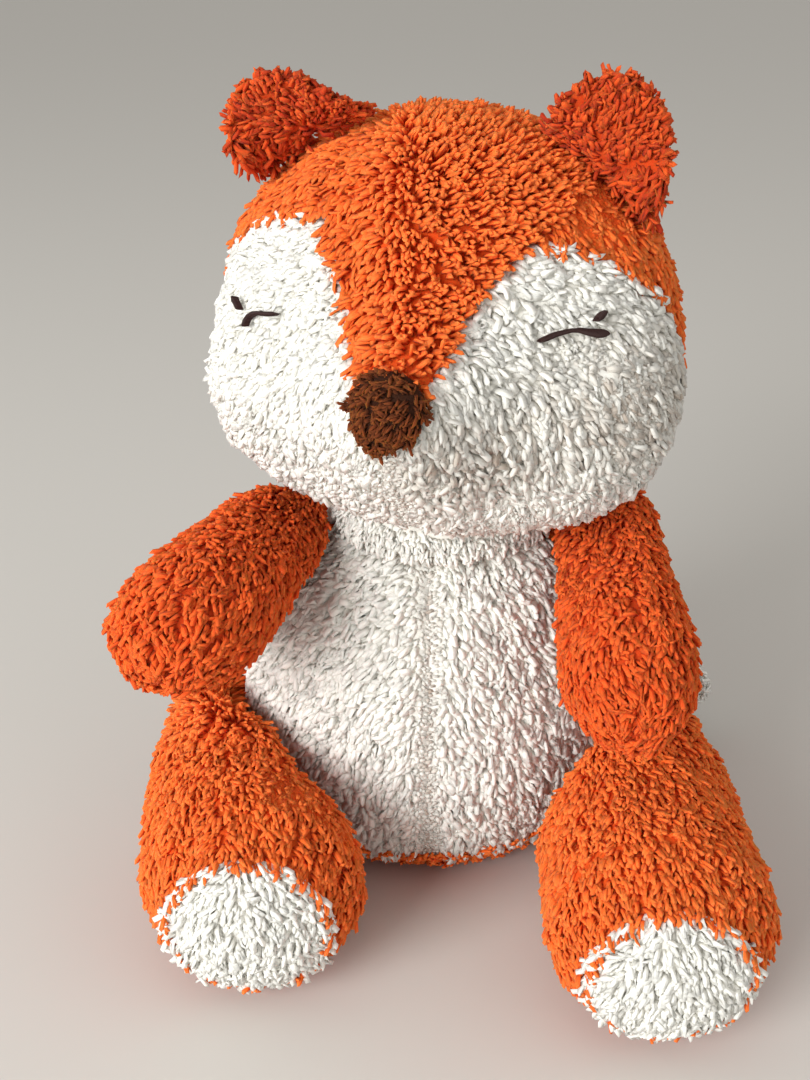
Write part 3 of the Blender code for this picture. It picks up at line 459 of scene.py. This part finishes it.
def fleece(name, root, middle, tip, stain_and_shade_colour, stain_share, glow, translucency, depth_of_colour):
    """Curly fleece: locks dark at the foot and pale at the tip, the dark foot being painted shade deep in the
    pile, with fibres along them and soft stains. The stain colour also paints shade where a panel's mask asks for
    it.
    """
    material = bpy.data.materials.new(name)
    material.use_nodes = True
    nodes, links = material.node_tree.nodes, material.node_tree.links
    shader = nodes["Principled BSDF"]
    set_sockets(shader, {
        "Roughness": 0.9,
        "Specular IOR Level": 0.2,
        "Sheen Weight": glow,
        "Sheen Roughness": 0.45,
        "Subsurface Weight": translucency,
        "Subsurface Radius": depth_of_colour,
        "Subsurface Scale": 0.003,
    })
    tone = nodes.new("ShaderNodeAttribute")
    tone.attribute_name = "lock_tone"
    split = nodes.new("ShaderNodeSeparateColor")
    links.new(tone.outputs["Color"], split.inputs["Color"])

    # Painted shade: the ramp runs from the dark root colour at the foot of a lock to the pale tip, standing in for
    # the shade deep in the pile.
    ramp = nodes.new("ShaderNodeValToRGB")
    ramp.color_ramp.elements[0].color = (*root, 1)
    ramp.color_ramp.elements[0].position = 0.05
    ramp.color_ramp.elements[1].color = (*tip, 1)
    halfway = ramp.color_ramp.elements.new(0.45)
    halfway.color = (*middle, 1)
    links.new(split.outputs["Red"], ramp.inputs["Fac"])
    variety = nodes.new("ShaderNodeMath")
    variety.operation = "ADD"
    links.new(split.outputs["Green"], variety.inputs[0])
    links.new(split.outputs["Blue"], variety.inputs[1])
    bright = nodes.new("ShaderNodeMapRange")
    set_sockets(bright, {"From Max": 2.0, "To Min": 0.80, "To Max": 1.12})
    links.new(variety.outputs[0], bright.inputs["Value"])
    shaded = nodes.new("ShaderNodeHueSaturation")
    links.new(bright.outputs["Result"], shaded.inputs["Value"])
    links.new(ramp.outputs["Color"], shaded.inputs["Color"])

    place = nodes.new("ShaderNodeTexCoord")
    patches = nodes.new("ShaderNodeTexNoise")
    set_sockets(patches, {"Scale": 42.0, "Detail": 3.0})
    links.new(place.outputs["Object"], patches.inputs["Vector"])
    soil = nodes.new("ShaderNodeMapRange")
    set_sockets(soil, {"From Min": 0.52, "From Max": 0.78, "To Max": stain_share})
    links.new(patches.outputs["Fac"], soil.inputs["Value"])
    # The panel's mask times the lock's own tone, plus the stain patches, sets how much stain colour is mixed in;
    # some masks use it as painted shade.
    stain_and_shade_amount = nodes.new("ShaderNodeMath")
    stain_and_shade_amount.operation = "MULTIPLY_ADD"
    stain_and_shade_amount.use_clamp = True
    links.new(tone.outputs["Alpha"], stain_and_shade_amount.inputs[0])
    links.new(split.outputs["Green"], stain_and_shade_amount.inputs[1])
    links.new(soil.outputs["Result"], stain_and_shade_amount.inputs[2])
    stained_and_shaded = nodes.new("ShaderNodeMix")
    stained_and_shaded.data_type = "RGBA"
    stained_and_shaded.inputs["B"].default_value = (*stain_and_shade_colour, 1)
    links.new(stain_and_shade_amount.outputs["Value"], stained_and_shaded.inputs["Factor"])
    links.new(shaded.outputs["Color"], stained_and_shaded.inputs["A"])
    links.new(stained_and_shaded.outputs["Result"], shader.inputs["Base Color"])

    along = nodes.new("ShaderNodeUVMap")
    along.uv_map = "Strand"
    stretch = nodes.new("ShaderNodeMapping")
    set_sockets(stretch, {"Scale": (14.0, 2.2, 1.0)})
    links.new(along.outputs["UV"], stretch.inputs["Vector"])
    fibres = nodes.new("ShaderNodeTexNoise")
    set_sockets(fibres, {"Scale": 1.0, "Detail": 2.0})
    links.new(stretch.outputs["Vector"], fibres.inputs["Vector"])
    bump = nodes.new("ShaderNodeBump")
    set_sockets(bump, {"Strength": 0.6, "Distance": 0.0004})
    links.new(fibres.outputs["Fac"], bump.inputs["Height"])
    links.new(bump.outputs["Normal"], shader.inputs["Normal"])
    return material


orange_fleece = fleece(
    "orange_fleece_locks",
    root=(0.78, 0.085, 0.008),
    middle=(0.90, 0.135, 0.018),
    tip=(0.94, 0.190, 0.040),
    stain_and_shade_colour=(0.74, 0.09, 0.015),
    stain_share=0.25,
    glow=0.02,
    translucency=0.35,
    depth_of_colour=(1.0, 0.3, 0.1),
)
# A darker, redder copy of the orange fleece for the arms and ears: partly a deeper dye, partly painted shade on
# those parts. Its dark stain colour is also the ears' painted shade.
deep_and_shaded_orange_fleece = fleece(
    "orange_fleece_locks_deep_and_shaded",
    root=(0.60, 0.055, 0.006),
    middle=(0.74, 0.085, 0.011),
    tip=(0.83, 0.125, 0.022),
    stain_and_shade_colour=(0.38, 0.030, 0.007),
    stain_share=0.25,
    glow=0.02,
    translucency=0.35,
    depth_of_colour=(1.0, 0.3, 0.1),
)
white_fleece = fleece(
    "white_fleece_locks",
    root=(0.86, 0.84, 0.77),
    middle=(0.885, 0.87, 0.80),
    tip=(0.895, 0.885, 0.82),
    stain_and_shade_colour=(0.40, 0.33, 0.27),
    stain_share=0.08,
    glow=0.05,
    translucency=0.3,
    depth_of_colour=(1.0, 0.95, 0.9),
)

BRIDGE_ABOVE_NOSE = 0.035
PARTING_REACH = 0.006
CHIN_SEAM_BARE = 0.0012
CHIN_SEAM_SLOPE = 0.0050
CHIN_SHADE_REACH = 0.0022
EYE_BARE = 0.0008
EYE_SLOPE = 0.0035
CLIPPED_BELOW_EYE = 0.009
CLIPPED_ABOVE_EYE = 0.001
FOREHEAD_DARKENING_REACH = 0.003
PARTING_OFF_MIDDLE = 0.012
PARTING_SOFTNESS = 0.012
CURLS_OFF_MIDDLE = 0.022
CURLS_FADE = 0.02
MOST_CURLED = 0.55
# Spots of grime and painted shade where the chin and the lower outer left cheek face down.
GRUBBY_AND_SHADED_SPOTS = (
    ((0.012, -0.095, 0.182), (0.026, 0.030, 0.014)),
    ((0.060, -0.055, 0.192), (0.030, 0.050, 0.020)),
)
nose_middle = np.array(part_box("nose")).mean(0)
head_middle = np.array(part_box("head_stuffing")).mean(0)
eye_lines = [n for n in body_of_node if "_eye_" in n]


def lie_of_cheek(places):
    """Away from the bridge of the muzzle, and down, parted at the seam under the nose."""
    aside = places[:, 0] - nose_middle[0]
    parting = np.outer(np.exp(-np.abs(aside) / PARTING_REACH) * np.sign(aside), (0.8, 0, 0))
    return unit(places - (nose_middle + (0, 0, BRIDGE_ABOVE_NOSE))) + (0, 0, -0.7) + parting


def beside_chin_seam(places):
    """How far each place is from the seam that joins the cheeks under the nose."""
    return np.maximum(gaps_to(["left_cheek_panel"], places), gaps_to(["right_cheek_panel"], places))


def trim_of_cheek(places):
    """Drawn down into the seam under the nose, short under the embroidery, and clipped for a finger's width
    below the left eye."""
    at_seam = rising(beside_chin_seam(places), CHIN_SEAM_BARE, CHIN_SEAM_SLOPE, least=0.2)
    at_eyes = rising(gaps_to(eye_lines, places), EYE_BARE, EYE_SLOPE, least=0.4)
    low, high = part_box("left_eye_arc")
    under_eye = (low.x < places[:, 0]) & (places[:, 0] < high.x)
    above = places[:, 2] - low.z
    clipped = under_eye & (-CLIPPED_BELOW_EYE < above) & (above < CLIPPED_ABOVE_EYE)
    return np.where(clipped, np.minimum(at_eyes, 0.45), at_eyes) * at_seam


# Painted shade in the furrow of the seam under the nose, darkest at the seam.
def shade_in_chin_seam(places):
    return 0.9 * np.exp(-beside_chin_seam(places) / CHIN_SHADE_REACH)


def soiled_at_forehead(places):
    """Darker in a band beside the forehead's seam, and painted shade in the seam under the nose."""
    by_forehead_seam = np.exp(-gaps_to(["forehead_panel"], places) / FOREHEAD_DARKENING_REACH) * 0.7
    return (by_forehead_seam + shade_in_chin_seam(places)).clip(0, 1)


def soiled_below(places):
    """Darker round the chin and the lower outer part of the left cheek, partly real grime and partly painted shade
    where they face down, clean elsewhere; painted shade in the seam under the nose.
    """
    grubby_and_shaded = sum(1.2 * np.exp(-(((places - spot) / reach) ** 2).sum(axis=1)) for spot, reach in GRUBBY_AND_SHADED_SPOTS)
    return (grubby_and_shaded + shade_in_chin_seam(places)).clip(0, 1)


def lie_of_head_back(places):
    """Down the back of the head."""
    return unit(places - head_middle) * (0.4, 0.4, 0) + (0, 0, -1.0)


def lie_of_forehead(places):
    """Parted in the middle: over to both sides, and down towards the nose."""
    sideways = np.tanh((places[:, 0] - head_middle[0] + PARTING_OFF_MIDDLE) / PARTING_SOFTNESS)
    return np.stack([sideways, np.full(len(places), -0.2), np.full(len(places), -0.5)], axis=1)


def curls_of_forehead(places):
    """The middle and the left of the forehead stand up in curls; the right edge lies flat."""
    return np.clip((places[:, 0] - head_middle[0] + CURLS_OFF_MIDDLE) / CURLS_FADE, 0.0, MOST_CURLED)


left_cheek_growth = {"trim": trim_of_cheek, "soiled": soiled_below, "foot_lean": 48, "width": 0.00112}
right_cheek_growth = {
    "trim": trim_of_cheek,
    "soiled": soiled_at_forehead,
    "length": 0.0050,
    "foot_lean": 50,
    "width": 0.00108,
}
head_panels = (
    ("left_cheek_panel", lie_of_cheek, white_fleece, left_cheek_growth),
    ("right_cheek_panel", lie_of_cheek, white_fleece, right_cheek_growth),
    ("forehead_panel", lie_of_forehead, orange_fleece, {"stand_up": curls_of_forehead}),
    ("left_head_back_panel", lie_of_head_back, orange_fleece, {}),
    ("right_head_back_panel", lie_of_head_back, orange_fleece, {}),
)
for seed, (node, lie, finish, growth) in enumerate(head_panels, 10):
    fleece_piece(node.replace("panel", "fleece"), node, lie, finish, seed, **growth)

# Nose
# A round patch of dark brown long pile, gathered over the end of the muzzle and sewn down round its edge. Its
# strands are thinner and closer than the fleece's, tangled, and hang out over the edge in all directions.
NOSE_TANGLE_RADIUS = 0.006
NOSE_EDGE_REACH = 0.006

brown_pile = fleece(
    "brown_pile_locks",
    root=(0.030, 0.007, 0.0015),
    middle=(0.095, 0.019, 0.004),
    tip=(0.200, 0.045, 0.009),
    stain_and_shade_colour=(0.05, 0.015, 0.005),
    stain_share=0.4,
    glow=0.0,
    translucency=0.35,
    depth_of_colour=(1.0, 0.5, 0.2),
)


def lie_of_nose(places):
    """Tangled in the middle of the patch, and hanging out and down at its edge."""
    aside = (places - nose_middle) * (1, 0, 1)
    out = rising(np.linalg.norm(aside, axis=1, keepdims=True), NOSE_TANGLE_RADIUS, NOSE_EDGE_REACH)
    return unit(aside) * out + (-0.4, 0, -0.8)


fleece_piece(
    "nose_pile", "nose", lie_of_nose, brown_pile, 20, sink=0.0015, length=0.0042, width=0.00062,
    spacing=0.00080, foot_lean=42, tip_lean=128, curl=0.4, ruffle=0.9, tufting=1.1,
)

# Closed eyes
# Each eye is two lines of satin stitch in dark brown thread: a long curved one for the lid and a short one for
# the outer lash. The stitches run across the line, side by side, and pull down into the pile at both ends.
THREAD_RADIUS = 0.00026
STITCH_PITCH = 0.00044
STITCH_DEPTH = 0.0010
STITCH_SINK = 0.0008
STITCH_RISE = 0.0007
STITCH_SLANT = 0.0003
STITCH_ANGLES = np.radians((-60, 0, 40, 90, 140, 180, 240))
END_NARROWING = 0.95
RING_THICKNESS = 0.0006

eye_thread = bpy.data.materials.new("satin_thread")
eye_thread.use_nodes = True
nodes, links = eye_thread.node_tree.nodes, eye_thread.node_tree.links
sheen = nodes["Principled BSDF"]
set_sockets(sheen, {"Roughness": 0.5, "Specular IOR Level": 0.25})
place = nodes.new("ShaderNodeTexCoord")
ply = nodes.new("ShaderNodeTexNoise")
set_sockets(ply, {"Scale": 2600.0})
dye = nodes.new("ShaderNodeValToRGB")
dye.color_ramp.elements[0].color = (0.008, 0.003, 0.003, 1)
dye.color_ramp.elements[1].color = (0.045, 0.014, 0.011, 1)
links.new(place.outputs["Object"], ply.inputs["Vector"])
links.new(ply.outputs["Fac"], dye.inputs["Fac"])
links.new(dye.outputs["Color"], sheen.inputs["Base Color"])
twist_bump = nodes.new("ShaderNodeBump")
set_sockets(twist_bump, {"Distance": 0.0001})
links.new(ply.outputs["Fac"], twist_bump.inputs["Height"])
links.new(twist_bump.outputs["Normal"], sheen.inputs["Normal"])


def middle_line(node):
    """Points along an embroidered line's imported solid, a stitch's pitch apart, from its end by the nose."""
    solid = bmesh.new()
    solid.from_mesh(frame["nodes"][node].data)
    bmesh.ops.remove_doubles(solid, verts=solid.verts, dist=WELD)
    solid.verts.index_update()
    corners = np.array([vert.co[:] for vert in solid.verts])
    run = np.linalg.svd(corners - corners.mean(0))[2][0]
    run = run * np.sign(run @ (corners.mean(0) - nose_middle))
    along = (corners - corners.mean(0)) @ run
    ring = [vert for vert in solid.verts if along[vert.index] < along.min() + RING_THICKNESS]
    middles, seen = [], set()
    while ring:
        middles.append(np.mean([vert.co[:] for vert in ring], axis=0))
        seen.update(ring)
        ring = list({edge.other_vert(vert) for vert in ring for edge in vert.link_edges} - seen)
    solid.free()
    middles = np.array(middles)
    travelled = np.concatenate([[0], np.cumsum(np.linalg.norm(np.diff(middles, axis=0), axis=1))])
    marks = np.arange(0, travelled[-1], STITCH_PITCH)
    return np.stack([np.interp(marks, travelled, middles[:, axis]) for axis in range(3)], axis=1)


def satin_stitches(node, widths):
    """Loops of thread across an embroidered line, side by side, drawn down into the fleece at both ends.
    widths are those of the line at its inner end, middle and outer end."""
    line = middle_line(node)
    runs = unit(np.gradient(line, axis=0))
    outward = unit(line - head_middle)
    across = unit(np.cross(outward, runs))
    shares = np.linspace(0, 1, len(line))
    half = np.interp(shares, (0, 0.5, 1), widths) / 2 * np.sqrt(1 - (2 * shares - 1) ** 6 * END_NARROWING)
    threads = bpy.data.curves.new(node, "CURVE")
    threads.dimensions = "3D"
    threads.bevel_depth = THREAD_RADIUS
    threads.bevel_resolution = 1
    threads.use_fill_caps = True
    for i in range(len(line)):
        loop = threads.splines.new("POLY")
        loop.points.add(len(STITCH_ANGLES) - 1)
        for point, angle in zip(loop.points, STITCH_ANGLES):
            drop = STITCH_DEPTH if angle in (STITCH_ANGLES[0], STITCH_ANGLES[-1]) else 0.0
            spot = line[i] + across[i] * half[i] * math.cos(angle) - outward[i] * (STITCH_SINK + drop)
            spot = spot + outward[i] * STITCH_RISE * math.sin(angle) + runs[i] * STITCH_SLANT * math.cos(angle)
            point.co = (*spot, 1)
    drawn = linked(node, threads)
    bpy.context.view_layer.update()
    mesh = meshed(drawn)
    mesh.materials.clear()
    mesh.materials.append(eye_thread)
    mesh.shade_smooth()
    stitches = linked(node + "_stitches", mesh)
    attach(stitches, "head")
    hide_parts(node)


for line, widths in (
    ("left_eye_arc", (0.0014, 0.0008, 0.0030)),
    ("left_eye_lash", (0.0008, 0.0018, 0.0014)),
    ("right_eye_arc", (0.0012, 0.0008, 0.0011)),
    ("right_eye_lash", (0.0005, 0.0011, 0.0006)),
):
    satin_stitches(line, widths)

# Ears
# Each ear is two layers of orange fleece sewn round their edge, turned out and caught in the crown seam. Where
# an ear's lower edge comes near the head, its pile is longer and hangs, so that the two piles meet.
EAR_FOOT_REACH = 0.006


# Painted shade over the whole of each ear, through the dark stain colour of the darker orange fleece.
def soiled_all_over(places):
    return np.ones(len(places))


for seed, side in ((30, "left"), (34, "right")):
    ear_foot = np.array(next(j["pos_m"] for j in frame["joints"] if j["name"] == f"{side}_ear_fold"))

    def near_its_foot(places):
        """0 a reach above the ear's foot and higher, and 1 at its foot and lower."""
        return rising(ear_foot[2] + EAR_FOOT_REACH - places[:, 2], 0, EAR_FOOT_REACH)

    def lie_of_ear(places):
        """To the ear's tip, but down to the head at its lower edge."""
        low = near_its_foot(places)[:, None]
        return unit(places - ear_foot) * (1 - low) + (unit(head_middle - places) + (0, 0, -0.6)) * low

    def longer_at_its_foot(places):
        return 1 + 0.6 * near_its_foot(places)

    for layer in ("front", "back"):
        fleece_piece(
            f"{side}_ear_{layer}_fleece", f"{side}_ear_{layer}_panel", lie_of_ear, deep_and_shaded_orange_fleece,
            seed + len(layer), sink=0.0010, length=0.0045, spacing=0.00108, curl=0.35, ruffle=0.9,
            trim=longer_at_its_foot, soiled=soiled_all_over,
        )

# Body
# Two white belly panels meet in a seam down the middle, two orange panels make the sides and the back, and a
# round orange panel closes the body underneath, where the fox sits.
RIGHT_HIP_FOLD = (-0.071, -0.022, 0.071)
HIP_FOLD_REACH = 0.020
SEAM_WANDER = 0.0008
SEAM_WAVE = 0.012
BELLY_SEAM_BARE = 0.0014
BELLY_SEAM_SLOPE = 0.0045
BELLY_SHADE_REACH = 0.0028
LOW_ON_BELLY = 0.06
HIGH_ON_BELLY = 0.14


def beside_belly_seam(places):
    """How far each place lies to the left of the middle seam, which wanders a little."""
    return places[:, 0] - SEAM_WANDER * np.sin(places[:, 2] / SEAM_WAVE)


def lie_of_belly(places):
    """Down, and away from the middle seam: most of all high on the right."""
    aside = beside_belly_seam(places)
    rise = rising(places[:, 2], LOW_ON_BELLY, HIGH_ON_BELLY - LOW_ON_BELLY)
    apart = np.where(aside < 0, -0.35 - 0.9 * rise, 0.3)
    return np.stack([apart, np.zeros(len(places)), np.full(len(places), -1.0)], axis=1)


def trim_at_belly_seam(places):
    """Drawn down into the middle seam, so that a furrow shows there."""
    return rising(np.abs(beside_belly_seam(places)), BELLY_SEAM_BARE, BELLY_SEAM_SLOPE, least=0.18)


def soiled_at_belly_seam(places):
    """Painted shade in the furrow."""
    return np.exp(-((beside_belly_seam(places) / BELLY_SHADE_REACH) ** 2))


def lie_of_back(places):
    return np.tile((0.0, 0.3, -1.0), (len(places), 1))


def lie_of_seat(places):
    return unit(places * (1, 1, 0)) + (0, 0, 0.5)


def near_the_hip(places):
    """1 in the fold of the right hip, where the pile stands out and closes the fold, falling to 0 around it."""
    return np.exp(-(np.linalg.norm(places - RIGHT_HIP_FOLD, axis=1) / HIP_FOLD_REACH) ** 2)


def fuller_at_the_hip(places):
    return 1 + 0.9 * near_the_hip(places)


combed = {
    "trim": trim_at_belly_seam,
    "soiled": soiled_at_belly_seam,
    "foot_lean": 53,
    "tip_lean": 112,
    "width": 0.00122,
    "spacing": 0.00122,
    "ruffle": 0.35,
    "tufting": 0.5,
}
closing_the_fold = {"trim": fuller_at_the_hip, "stand_up": near_the_hip}
body_panels = (
    ("left_belly_panel", lie_of_belly, white_fleece, combed),
    ("right_belly_panel", lie_of_belly, white_fleece, combed),
    ("left_back_panel", lie_of_back, orange_fleece, {}),
    ("right_back_panel", lie_of_back, orange_fleece, closing_the_fold),
    ("seat_panel", lie_of_seat, orange_fleece, {}),
)
for seed, (node, lie, finish, growth) in enumerate(body_panels, 40):
    fleece_piece(node.replace("panel", "fleece"), node, lie, finish, seed, **growth)

# Arms and legs
# Each limb is two halves of orange fleece sewn along the top and underneath, turned and filled. A leg ends in a
# round white sole, sewn into the open end. The pile runs away from the body and hangs a little.
SOLE_SPREAD_PER_METRE = 20

for seed, limb in ((50, "left_arm"), (54, "right_arm"), (58, "left_leg"), (62, "right_leg")):
    root_of_limb = np.array(next(j["pos_m"] for j in frame["joints"] if j["child"] == limb))
    middle_of_limb = np.array(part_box(f"{limb}_stuffing")).mean(0)
    outward = unit((middle_of_limb - root_of_limb)[None])[0]
    # The arms take the darker, redder orange: partly its deeper dye, partly painted shade.
    finish = deep_and_shaded_orange_fleece if "arm" in limb else orange_fleece
    growth = closing_the_fold if limb == "right_leg" else {}

    def lie_of_limb(places):
        """Along the limb, and down."""
        aside = places - middle_of_limb
        aside -= outward * (aside @ outward)[:, None]
        return outward * 0.9 + unit(aside) * 0.3 + (0, 0, -0.5)

    for half in ("outer", "inner"):
        fleece_piece(
            f"{limb}_{half}_fleece", f"{limb}_{half}_panel", lie_of_limb, finish, seed + len(half), **growth
        )

for seed, node in ((70, "left_foot_pad"), (72, "right_foot_pad")):
    sole_middle = np.array(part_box(node)).mean(0)

    def lie_of_sole(places):
        """Out to the rim, and down."""
        return (places - sole_middle) * SOLE_SPREAD_PER_METRE + (0, 0, -0.9)

    fleece_piece(
        node + "_fleece", node, lie_of_sole, white_fleece, seed, sink=0.0022, length=0.0056, width=0.00100,
        foot_lean=46, tip_lean=118, curl=0.3,
    )

# Tail
# An orange sleeve with a white end, filled, sewn on low at the back. Its pile runs to the tip and stands out
# round it in a brush.
tail_root = np.array(next(j["pos_m"] for j in frame["joints"] if j["name"] == "tail_swing"))


def lie_of_tail(places):
    """Along the tail to its tip."""
    return unit(places - tail_root) + (0.3, -0.4, 0)


fleece_piece("tail_sleeve_fleece", "tail_sleeve", lie_of_tail, orange_fleece, 80, length=0.006)
fleece_piece("tail_tip_fleece", "tail_tip", lie_of_tail, white_fleece, 81, length=0.008)

# Neck
# Where the head is sewn on, the edges of the panels are gathered over the neck's wad: white in front, orange
# behind. They show in the fold under the chin.
GATHER_LIFT = 0.0004
GATHER_SEAM_Y = -0.004
COVERED_SLOPE = 0.9


def lie_of_neck(places):
    return np.tile((0.0, -0.3, -1.0), (len(places), 1))


for seed, part, finish, kept_side in ((90, "front", white_fleece, 1), (91, "back", orange_fleece, -1)):
    gather = backing("neck_stuffing", sink=0.0)
    lifted = [vert.co + vert.normal * GATHER_LIFT for vert in gather.vertices]
    gather.vertices.foreach_set("co", np.array(lifted).ravel())
    marks = gather.attributes["pile_side"].data
    for face in gather.polygons:
        this_part = face.center.y * kept_side < GATHER_SEAM_Y * kept_side
        marks[face.index].value = int(this_part and abs(face.normal.z) < COVERED_SLOPE)
    locks = pile("neck_stuffing", gather, lie_of_neck, seed, spacing=0.00105, length=0.0042)
    bm = bmesh.new()
    bm.from_mesh(gather)
    whole = bm.verts[:] + bm.edges[:] + bm.faces[:]
    bmesh.ops.bisect_plane(
        bm, geom=whole, plane_co=(0, GATHER_SEAM_Y, 0), plane_no=(0, kept_side, 0), clear_outer=True
    )
    bmesh.ops.holes_fill(bm, edges=[edge for edge in bm.edges if edge.is_boundary])
    bm.to_mesh(gather)
    bm.free()
    sewn_piece(f"neck_fleece_{part}", "neck_stuffing", gather, locks, finish, stands_for_it=False)

# Filling
# Loose polyester fibre fills every sewn skin, and a firmer wad of it makes the neck. It is soft and lumpy.
LUMPS_PER_METRE = 90.0
LUMP_HEIGHT = 0.0003
WAD_SLACK = 0.0009

polyester_fibre = bpy.data.materials.new("loose_fibre")
polyester_fibre.use_nodes = True
nodes, links = polyester_fibre.node_tree.nodes, polyester_fibre.node_tree.links
wool = nodes["Principled BSDF"]
set_sockets(wool, {"Roughness": 0.95, "Sheen Weight": 0.3})
place = nodes.new("ShaderNodeTexCoord")
wisps = nodes.new("ShaderNodeTexNoise")
set_sockets(wisps, {"Scale": 400.0, "Detail": 6.0, "Distortion": 2.0})
links.new(place.outputs["Object"], wisps.inputs["Vector"])
shade = nodes.new("ShaderNodeValToRGB")
shade.color_ramp.elements[0].color = (0.62, 0.62, 0.62, 1)
shade.color_ramp.elements[1].color = (0.84, 0.84, 0.83, 1)
links.new(wisps.outputs["Fac"], shade.inputs["Fac"])
links.new(shade.outputs["Color"], wool.inputs["Base Color"])
wool_bump = nodes.new("ShaderNodeBump")
set_sockets(wool_bump, {"Distance": 0.0006})
links.new(wisps.outputs["Fac"], wool_bump.inputs["Height"])
links.new(wool_bump.outputs["Normal"], wool.inputs["Normal"])

fillings = [n for n in body_of_node if n.endswith("_stuffing")]
for node in fillings:
    bm = bmesh.new()
    bm.from_mesh(frame["nodes"][node].data)
    bmesh.ops.remove_doubles(bm, verts=bm.verts, dist=WELD)
    bmesh.ops.subdivide_edges(bm, edges=bm.edges, cuts=1, use_grid_fill=True)
    bm.normal_update()
    for vert in bm.verts:
        vert.co += vert.normal * (LUMP_HEIGHT * noise.noise(vert.co * LUMPS_PER_METRE) - WAD_SLACK)
    mesh = bpy.data.meshes.new(node + "_wad")
    bm.to_mesh(mesh)
    bm.free()
    mesh.materials.append(polyester_fibre)
    mesh.shade_smooth()
    wad = linked(node + "_wad", mesh)
    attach(wad, body_of_node[node])
    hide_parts(node)

# Room
# A plain pale floor in one sheet, a large soft lamp up on the viewer's left, a weaker one on the right, and
# even light from all around.
FLOOR_REACH = 30.0
LIT_SPOT = Vector((0, 0, 0.12))

floor_mesh = bpy.data.meshes.new("floor")
bm = bmesh.new()
bmesh.ops.create_grid(bm, x_segments=1, y_segments=1, size=FLOOR_REACH)
bm.to_mesh(floor_mesh)
bm.free()
floor = linked("floor", floor_mesh)
paper = bpy.data.materials.new("paper")
paper.use_nodes = True
set_sockets(paper.node_tree.nodes["Principled BSDF"], {"Base Color": (0.62, 0.60, 0.56, 1), "Roughness": 0.9})
floor_mesh.materials.append(paper)

for name, place, size, power in (
    ("window", (-1.2, -1.45, 0.75), 1.0, 47.0),
    ("fill", (1.1, -0.9, 0.7), 1.2, 3.0),
):
    lamp = bpy.data.lights.new(name, "AREA")
    lamp.size = size
    lamp.energy = power
    light = linked(name, lamp)
    light.location = place
    light.rotation_euler = (LIT_SPOT - Vector(place)).to_track_quat("-Z", "Y").to_euler()
world = bpy.data.worlds.new("room")
bpy.context.scene.world = world
world.use_nodes = True
set_sockets(world.node_tree.nodes["Background"], {"Color": (1.0, 0.98, 0.95, 1), "Strength": 0.57})
bpy.context.scene.view_settings.view_transform = "Standard"

# Viewpoint
# The photograph looks down on the seated fox by about 26 degrees, from a little under half a metre off.
CAMERA_DISTANCE = 0.43
LOOKED_AT = Vector((-0.008, -0.04, 0.135))
TILT = math.radians(26)

camera_data = bpy.data.cameras.new("camera")
camera_data.sensor_width = 36.0
camera_data.lens = 43.46
camera = linked("camera", camera_data)
camera.location = LOOKED_AT + CAMERA_DISTANCE * Vector((0, -math.cos(TILT), math.sin(TILT)))
camera.rotation_euler = (math.radians(90) - TILT, 0, 0)
bpy.context.scene.camera = camera
